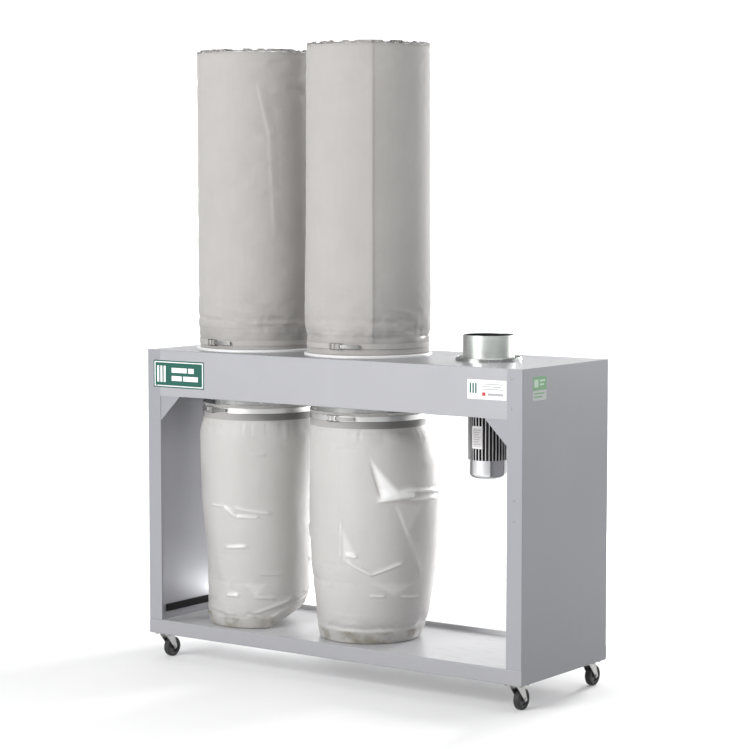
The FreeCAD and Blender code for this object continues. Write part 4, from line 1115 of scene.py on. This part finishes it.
class FrameSettings(bpy.types.PropertyGroup):
    """Colours of the steel frame."""

    paint_color: FloatVectorProperty(
        name="Coat colour", description="Colour of the frame's silver-grey coat",
        default=(0.37, 0.37, 0.39), subtype="COLOR", min=0.0, max=1.0,
    )
    plate_color: FloatVectorProperty(
        name="Front plate colour", description="Ground colour of the front plate",
        default=(0.004, 0.085, 0.062), subtype="COLOR", min=0.0, max=1.0,
    )


class StageSettings(bpy.types.PropertyGroup):
    """The floor, the lights and the camera."""

    lens: FloatProperty(
        name="Lens", description="Focal length in millimetres",
        default=110.52, min=10.0,
    )
    key_power: FloatProperty(
        name="Key light", description="Power of the large front light in watts",
        default=680.0, min=0.0,
    )
    floor_glow: FloatProperty(
        name="Floor glow", description="How much the pale floor is lifted towards white",
        default=0.12, min=0.0, max=1.0,
    )
    floor_color: FloatVectorProperty(
        name="Floor colour", description="Colour of the floor and backdrop",
        default=(0.71, 0.71, 0.71), subtype="COLOR", min=0.0, max=1.0,
    )


class CollectorSettings(bpy.types.PropertyGroup):
    """All the settings of the dust collector."""

    felt: PointerProperty(type=FeltBagSettings)
    film: PointerProperty(type=FilmBagSettings)
    sheet: PointerProperty(type=FrameSettings)
    stage: PointerProperty(type=StageSettings)


# ---- Operators ---------------------------------------------------------------------------------
def give(material, *nodes):
    """Puts one material on CAD nodes."""
    for node in nodes:
        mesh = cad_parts[node].data
        for k in range(max(1, len(mesh.materials))):
            if mesh.materials:
                mesh.materials[k] = material
            else:
                mesh.materials.append(material)


# Each light's name, place, size, power as a share of the key's, and the point it is aimed at.
LIGHTS = (
    ("key", (-2.2, -7.8, 4.2), (4.5, 4.5), 1.0, (0, 0, 1.2)),
    ("overhead", (0.0, 0.6, 6.5), (5.0, 4.0), 0.19, (0, 0, 0)),
    ("strip", (2.4, -6.0, 4.4), (4.0, 0.28), 0.1, (0, 0, 0.8)),
    ("right_strip", (6.0, -3.5, 3.5), (5.5, 0.22), 0.09, (0, 0, 0.8)),
    ("rim", (0.35, 4.5, 1.9), (1.0, 2.5), 0.32, (0, 0, 1.1)),
    ("right_rim", (3.4, 5.0, 2.8), (4.4, 4.0), 0.2, (0, 0, 1.0)),
    ("low_rear", (-0.7, 0.5, 0.12), (0.25, 0.1), 0.0055, (-0.9, 0.1, 0.1)),
    ("backdrop_wash", (-3.0, 4.6, 6.5), (8.0, 3.0), 1.2, (-6.4, 8.9, 2.5)),
)
SURROUND_COLOR, SURROUND_STRENGTH = (0.94, 0.95, 0.97, 1), 0.32
CAMERA_PLACE = (5.3035, -7.3721, 1.9289)
# The camera's pitch, roll and turn, in degrees.
CAMERA_TURN = (85.358, 0.0, 35.649)


class COLLECTOR_OT_stage(bpy.types.Operator):
    """Adds the floor, the lights and the camera"""

    bl_idname = "collector.stage"
    bl_label = "Stage"

    def execute(self, context):
        settings = context.scene.collector.stage
        self.add_backdrop(settings)
        self.add_lights(settings)
        self.add_world()
        self.add_camera(settings)
        context.scene.view_settings.view_transform = "Standard"
        return {"FINISHED"}

    def add_backdrop(self, settings):
        """One seamless sheet: a floor that curves up behind the machine."""
        front, reach, turn, rise, half_width = -14.0, 9.0, 3.0, 9.0, 16.0
        profile = [(front, 0.0)]
        for k in range(17):
            angle = k * math.pi / 32
            profile.append((reach + turn * math.sin(angle), turn - turn * math.cos(angle)))
        profile.append((reach + turn, rise))
        along = Vector((-0.583, 0.813, 0))
        across = Vector((0.813, 0.583, 0))
        sides = (-half_width, half_width)
        rows = [[along * distance + across * side + Vector((0, 0, z)) for side in sides]
                for distance, z in profile]
        vertices = [p for row in rows for p in row]
        faces = [(2 * j, 2 * j + 1, 2 * j + 3, 2 * j + 2) for j in range(len(rows) - 1)]
        finish = Finish("backdrop_paper", settings.floor_color, emission_strength=settings.floor_glow)
        finish.feed("Emission Color", (1.0, 1.0, 1.0, 1.0))
        cloud = finish.grain(1.5, 2.0)
        finish.feed("Roughness", 0.75 + cloud * 0.1)
        mesh = mesh_from("backdrop", vertices, faces)
        floor = new_piece("backdrop", mesh, [finish.material], None)

    def add_lights(self, settings):
        """A large front key, a soft overhead, two strips above the camera, two rim lights and a
        small low light at the rear, and a wash on the backdrop."""
        for name, place, size, share, target in LIGHTS:
            lamp = bpy.data.lights.new(name, "AREA")
            lamp.shape = "RECTANGLE"
            lamp.size, lamp.size_y = size
            lamp.energy = settings.key_power * share
            holder = bpy.data.objects.new(name, lamp)
            holder.location = place
            holder.visible_camera = False
            aim = Vector(target) - Vector(place)
            holder.rotation_euler = aim.to_track_quat("-Z", "Y").to_euler()
            bpy.context.scene.collection.objects.link(holder)

    def add_world(self):
        """A plain, dim white surround."""
        world = bpy.data.worlds.new("surround")
        world.use_nodes = True
        bpy.context.scene.world = world
        background = world.node_tree.nodes["Background"]
        background.inputs["Color"].default_value = SURROUND_COLOR
        background.inputs["Strength"].default_value = SURROUND_STRENGTH

    def add_camera(self, settings):
        """The camera looks from the right-front, a little down."""
        lens = bpy.data.cameras.new("camera")
        lens.lens = settings.lens
        lens.sensor_width = 36.0
        holder = bpy.data.objects.new("camera", lens)
        holder.location = CAMERA_PLACE
        holder.rotation_euler = [math.radians(angle) for angle in CAMERA_TURN]
        bpy.context.scene.collection.objects.link(holder)
        bpy.context.scene.camera = holder


class COLLECTOR_OT_sheet_metal(bpy.types.Operator):
    """Finishes the frame, the collars, the inlet and the fasteners"""

    bl_idname = "collector.sheet_metal"
    bl_label = "Sheet metal"

    def execute(self, context):
        settings = context.scene.collector.sheet
        give(tray_paint(settings), "base_tray")
        coat = settings.paint_color
        give(sheet_paint("silver_coat", coat), "base_rails", "plenum_floor", "front_fascia",
             "rear_fascia")
        # Painted shade: the side panels and gussets take a darker copy of the frame coat, as they face
        # away from the key light.
        give(sheet_paint("upright_coat", (0.307, 0.309, 0.331), 0.5), "corner_gussets",
             "left_side_panel", "right_side_panel")
        # Painted shade: the top plate takes a darker copy of the frame coat.
        give(sheet_paint("top_coat", shade(coat, 0.76)), "top_plate")
        zinc = galvanised("bright_zinc", (0.52, 0.53, 0.515), 0.16)
        give(spigot_sheet(), "inlet_spigot")
        give(zinc, "inlet_ring", "fan_scroll", "left_dust_collar", "right_dust_collar")
        give(white_coat(), "left_filter_collar", "right_filter_collar")
        give(drawn_steel("zinc_fasteners", (0.34, 0.34, 0.33), 0.4, (1, 1, 1)), "fasteners",
             "impeller_hub")
        give(moulded("black_rubber_strip", (0.006, 0.006, 0.006), 0.75, specular=0.1),
             "bumper_strips")
        return {"FINISHED"}


class COLLECTOR_OT_motor(bpy.types.Operator):
    """Finishes the motor, the impeller and the wiring box"""

    bl_idname = "collector.motor"
    bl_label = "Motor"

    def execute(self, context):
        give(cast_aluminium(), "motor_body", "motor_flange")
        give(drawn_steel("polished_cowl", (0.8, 0.8, 0.81), 0.08, (1, 1, 0.05)), "fan_cover")
        give(dark_iron(), "stator_core", "rotor_core")
        give(drawn_steel("ground_steel", (0.6, 0.6, 0.6), 0.2, (1, 1, 0.1)), "motor_shaft",
             "motor_bearings")
        give(satin_paint("wheel_paint", (0.3, 0.31, 0.33)), "impeller")
        give(moulded("black_moulding", (0.02, 0.02, 0.02), 0.45), "cooling_fan")
        give(moulded("grey_moulding", (0.2, 0.21, 0.22), 0.4), "terminal_box", "cable_gland")
        return {"FINISHED"}


class COLLECTOR_OT_clamps(bpy.types.Operator):
    """Finishes the clamp bands and their latches"""

    bl_idname = "collector.clamps"
    bl_label = "Clamp bands"

    def execute(self, context):
        strip = drawn_steel("bright_strip", (0.84, 0.84, 0.83), 0.3, (0.05, 0.05, 1))
        tape = woven_tape(context.scene.collector.felt)
        dull = drawn_steel("dull_strip", (0.36, 0.36, 0.35), 0.26, (0.05, 0.05, 1))
        wire = drawn_steel("dark_wire", (0.22, 0.22, 0.22), 0.25, (1, 1, 1))
        for name in CLAMPS:
            give(tape if "filter" in name else strip, name + "_band")
            give(dull, name + "_latch_lever")
            give(wire, name + "_latch_bail")
        return {"FINISHED"}


class COLLECTOR_OT_casters(bpy.types.Operator):
    """Finishes the casters"""

    bl_idname = "collector.casters"
    bl_label = "Casters"

    def execute(self, context):
        zinc = galvanised("pressed_zinc", (0.5, 0.5, 0.49), 0.3)
        tyre = moulded("black_tyre", (0.018, 0.018, 0.019), 0.62, 350.0, 0.35)
        hub = moulded("dark_hub", (0.055, 0.055, 0.058), 0.42)
        give(zinc, "caster_plates")
        for name in CASTERS:
            give(zinc, name + "_fork")
            give(tyre, name + "_tyre")
            give(hub, name + "_wheel_hub")
        return {"FINISHED"}


class COLLECTOR_OT_filter_bags(bpy.types.Operator):
    """Builds the cloth filter bags with their seams, edges and stitches"""

    bl_idname = "collector.filter_bags"
    bl_label = "Filter bags"

    def execute(self, context):
        settings = context.scene.collector.felt
        materials = [needle_felt(settings), sewing_thread(settings), sewn_edge(settings)]
        for side in SIDES:
            bag = FeltBag(side, settings)
            cloth = felt_sleeve(bag, materials)
            overlock_edge(bag, materials)
            felt_stitches(bag, cloth, materials)
        return {"FINISHED"}


class COLLECTOR_OT_dust_bags(bpy.types.Operator):
    """Builds the film dust bags"""

    bl_idname = "collector.dust_bags"
    bl_label = "Dust bags"

    def execute(self, context):
        settings = context.scene.collector.film
        for side in SIDES:
            bag = FilmBag(side, settings)
            film_skin(bag, milky_film(settings, bag))
        return {"FINISHED"}


class COLLECTOR_OT_plates(bpy.types.Operator):
    """Builds the printed plates on the front, the side and the motor"""

    bl_idname = "collector.plates"
    bl_label = "Printed plates"

    def execute(self, context):
        settings = context.scene.collector.sheet
        green = enamel("plate_green", settings.plate_color)
        white = enamel("plate_white", (0.8, 0.8, 0.8))
        note = enamel("plate_note", (0.42, 0.44, 0.43))
        grey = enamel("plate_grey", (0.35, 0.35, 0.36))
        red = enamel("plate_red", (0.45, 0.03, 0.03))
        pale = enamel("plate_pale_green", (0.42, 0.56, 0.44))
        side_green = enamel("plate_side_green", (0.16, 0.33, 0.17))
        silver = enamel("plate_silver", (0.62, 0.6, 0.6), 0.25)
        right, up, back = Vector((1, 0, 0)), Vector((0, 0, 1)), Vector((0, 1, 0))
        front = low_high("front_fascia")[0].y
        top = low_high("top_plate")[1].z
        inner = low_high("front_fascia")[1].x
        thick = 0.6 * MM
        # The front plate's white border stands in from its edge by this share of its width.
        edge = 0.018
        bars = [(edge, edge * 2.4, 1 - edge, 1 - edge * 2.4, 1),
                (2 * edge, edge * 4.4, 1 - 2 * edge, 1 - edge * 4.4, 0),
                (0.07, 0.2, 0.11, 0.8, 1), (0.135, 0.2, 0.175, 0.8, 1), (0.2, 0.2, 0.24, 0.8, 1),
                (0.36, 0.56, 0.66, 0.74, 1), (0.69, 0.56, 0.80, 0.74, 1),
                (0.36, 0.26, 0.56, 0.44, 1), (0.59, 0.26, 0.88, 0.44, 1)]
        corner = Vector((-inner + 0.5 * MM, front, top - 151.5 * MM))
        plate = printed_plate("front_plate", corner, right, up, (265 * MM, 110 * MM), thick, bars,
                              [green, white])
        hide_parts("label_plates")
        lines = [(0.06, 0.3, 0.1, 0.82, 1), (0.13, 0.3, 0.17, 0.82, 1), (0.2, 0.3, 0.24, 0.82, 1)]
        lines += [(0.38, 0.76 - 0.13 * k, 0.92 - 0.05 * (k % 2), 0.81 - 0.13 * k, 2) for k in range(3)]
        lines += [(0.38, 0.18, 0.47, 0.36, 3), (0.52, 0.2, 0.92, 0.33, 2)]
        corner = Vector((inner - 208 * MM, front, top - 118 * MM))
        printed_plate("rating_plate", corner, right, up, (170 * MM, 72 * MM), thick, lines,
                      [white, green, grey, red])
        side_x = low_high("right_side_panel")[1].x
        notes = [(0.0, 0.42, 1.0, 1.0, 1), (0.1, 0.55, 0.4, 0.88, 2), (0.5, 0.78, 0.9, 0.86, 2),
                 (0.5, 0.62, 0.8, 0.7, 2), (0.1, 0.26, 0.85, 0.32, 1), (0.1, 0.12, 0.7, 0.18, 1)]
        corner = Vector((side_x, front + 69 * MM, top - 121 * MM))
        printed_plate("side_plate", corner, back, up, (95 * MM, 88 * MM), thick, notes,
                      [note, side_green, pale])
        low, high = low_high("motor_body")
        middle = (low.x + high.x) / 2
        rows = [(0.1, 0.86 - 0.12 * k, 0.9 - 0.12 * (k % 3), 0.9 - 0.12 * k, 1) for k in range(7)]
        corner = Vector((middle - 20 * MM, low.y, high.z - 133 * MM))
        printed_plate("motor_plate", corner, right, up, (40 * MM, 74 * MM), thick, rows, [silver, grey])
        return {"FINISHED"}


class COLLECTOR_PT_panel(bpy.types.Panel):
    """The sidebar panel"""

    bl_idname = "COLLECTOR_PT_panel"
    bl_label = "Dust collector"
    bl_space_type = "VIEW_3D"
    bl_region_type = "UI"
    bl_category = "Dust collector"

    def draw(self, context):
        for group in ("felt", "film", "sheet", "stage"):
            box = self.layout.box()
            settings = getattr(context.scene.collector, group)
            for name in settings.__annotations__:
                box.prop(settings, name)
        for operator in OPERATORS:
            self.layout.operator(operator.bl_idname)


OPERATORS = (
    COLLECTOR_OT_stage,
    COLLECTOR_OT_sheet_metal,
    COLLECTOR_OT_motor,
    COLLECTOR_OT_clamps,
    COLLECTOR_OT_casters,
    COLLECTOR_OT_filter_bags,
    COLLECTOR_OT_dust_bags,
    COLLECTOR_OT_plates,
)
SETTINGS = (FeltBagSettings, FilmBagSettings, FrameSettings, StageSettings, CollectorSettings)
CLASSES = SETTINGS + OPERATORS + (COLLECTOR_PT_panel,)


def register():
    for cls in CLASSES:
        bpy.utils.register_class(cls)
    bpy.types.Scene.collector = PointerProperty(type=CollectorSettings)


def unregister():
    del bpy.types.Scene.collector
    for cls in reversed(CLASSES):
        bpy.utils.unregister_class(cls)


def main():
    """Runs every operator in order."""
    register()
    for operator in OPERATORS:
        group, name = operator.bl_idname.split(".")
        getattr(getattr(bpy.ops, group), name)()


if __name__ == "__main__":
    main()
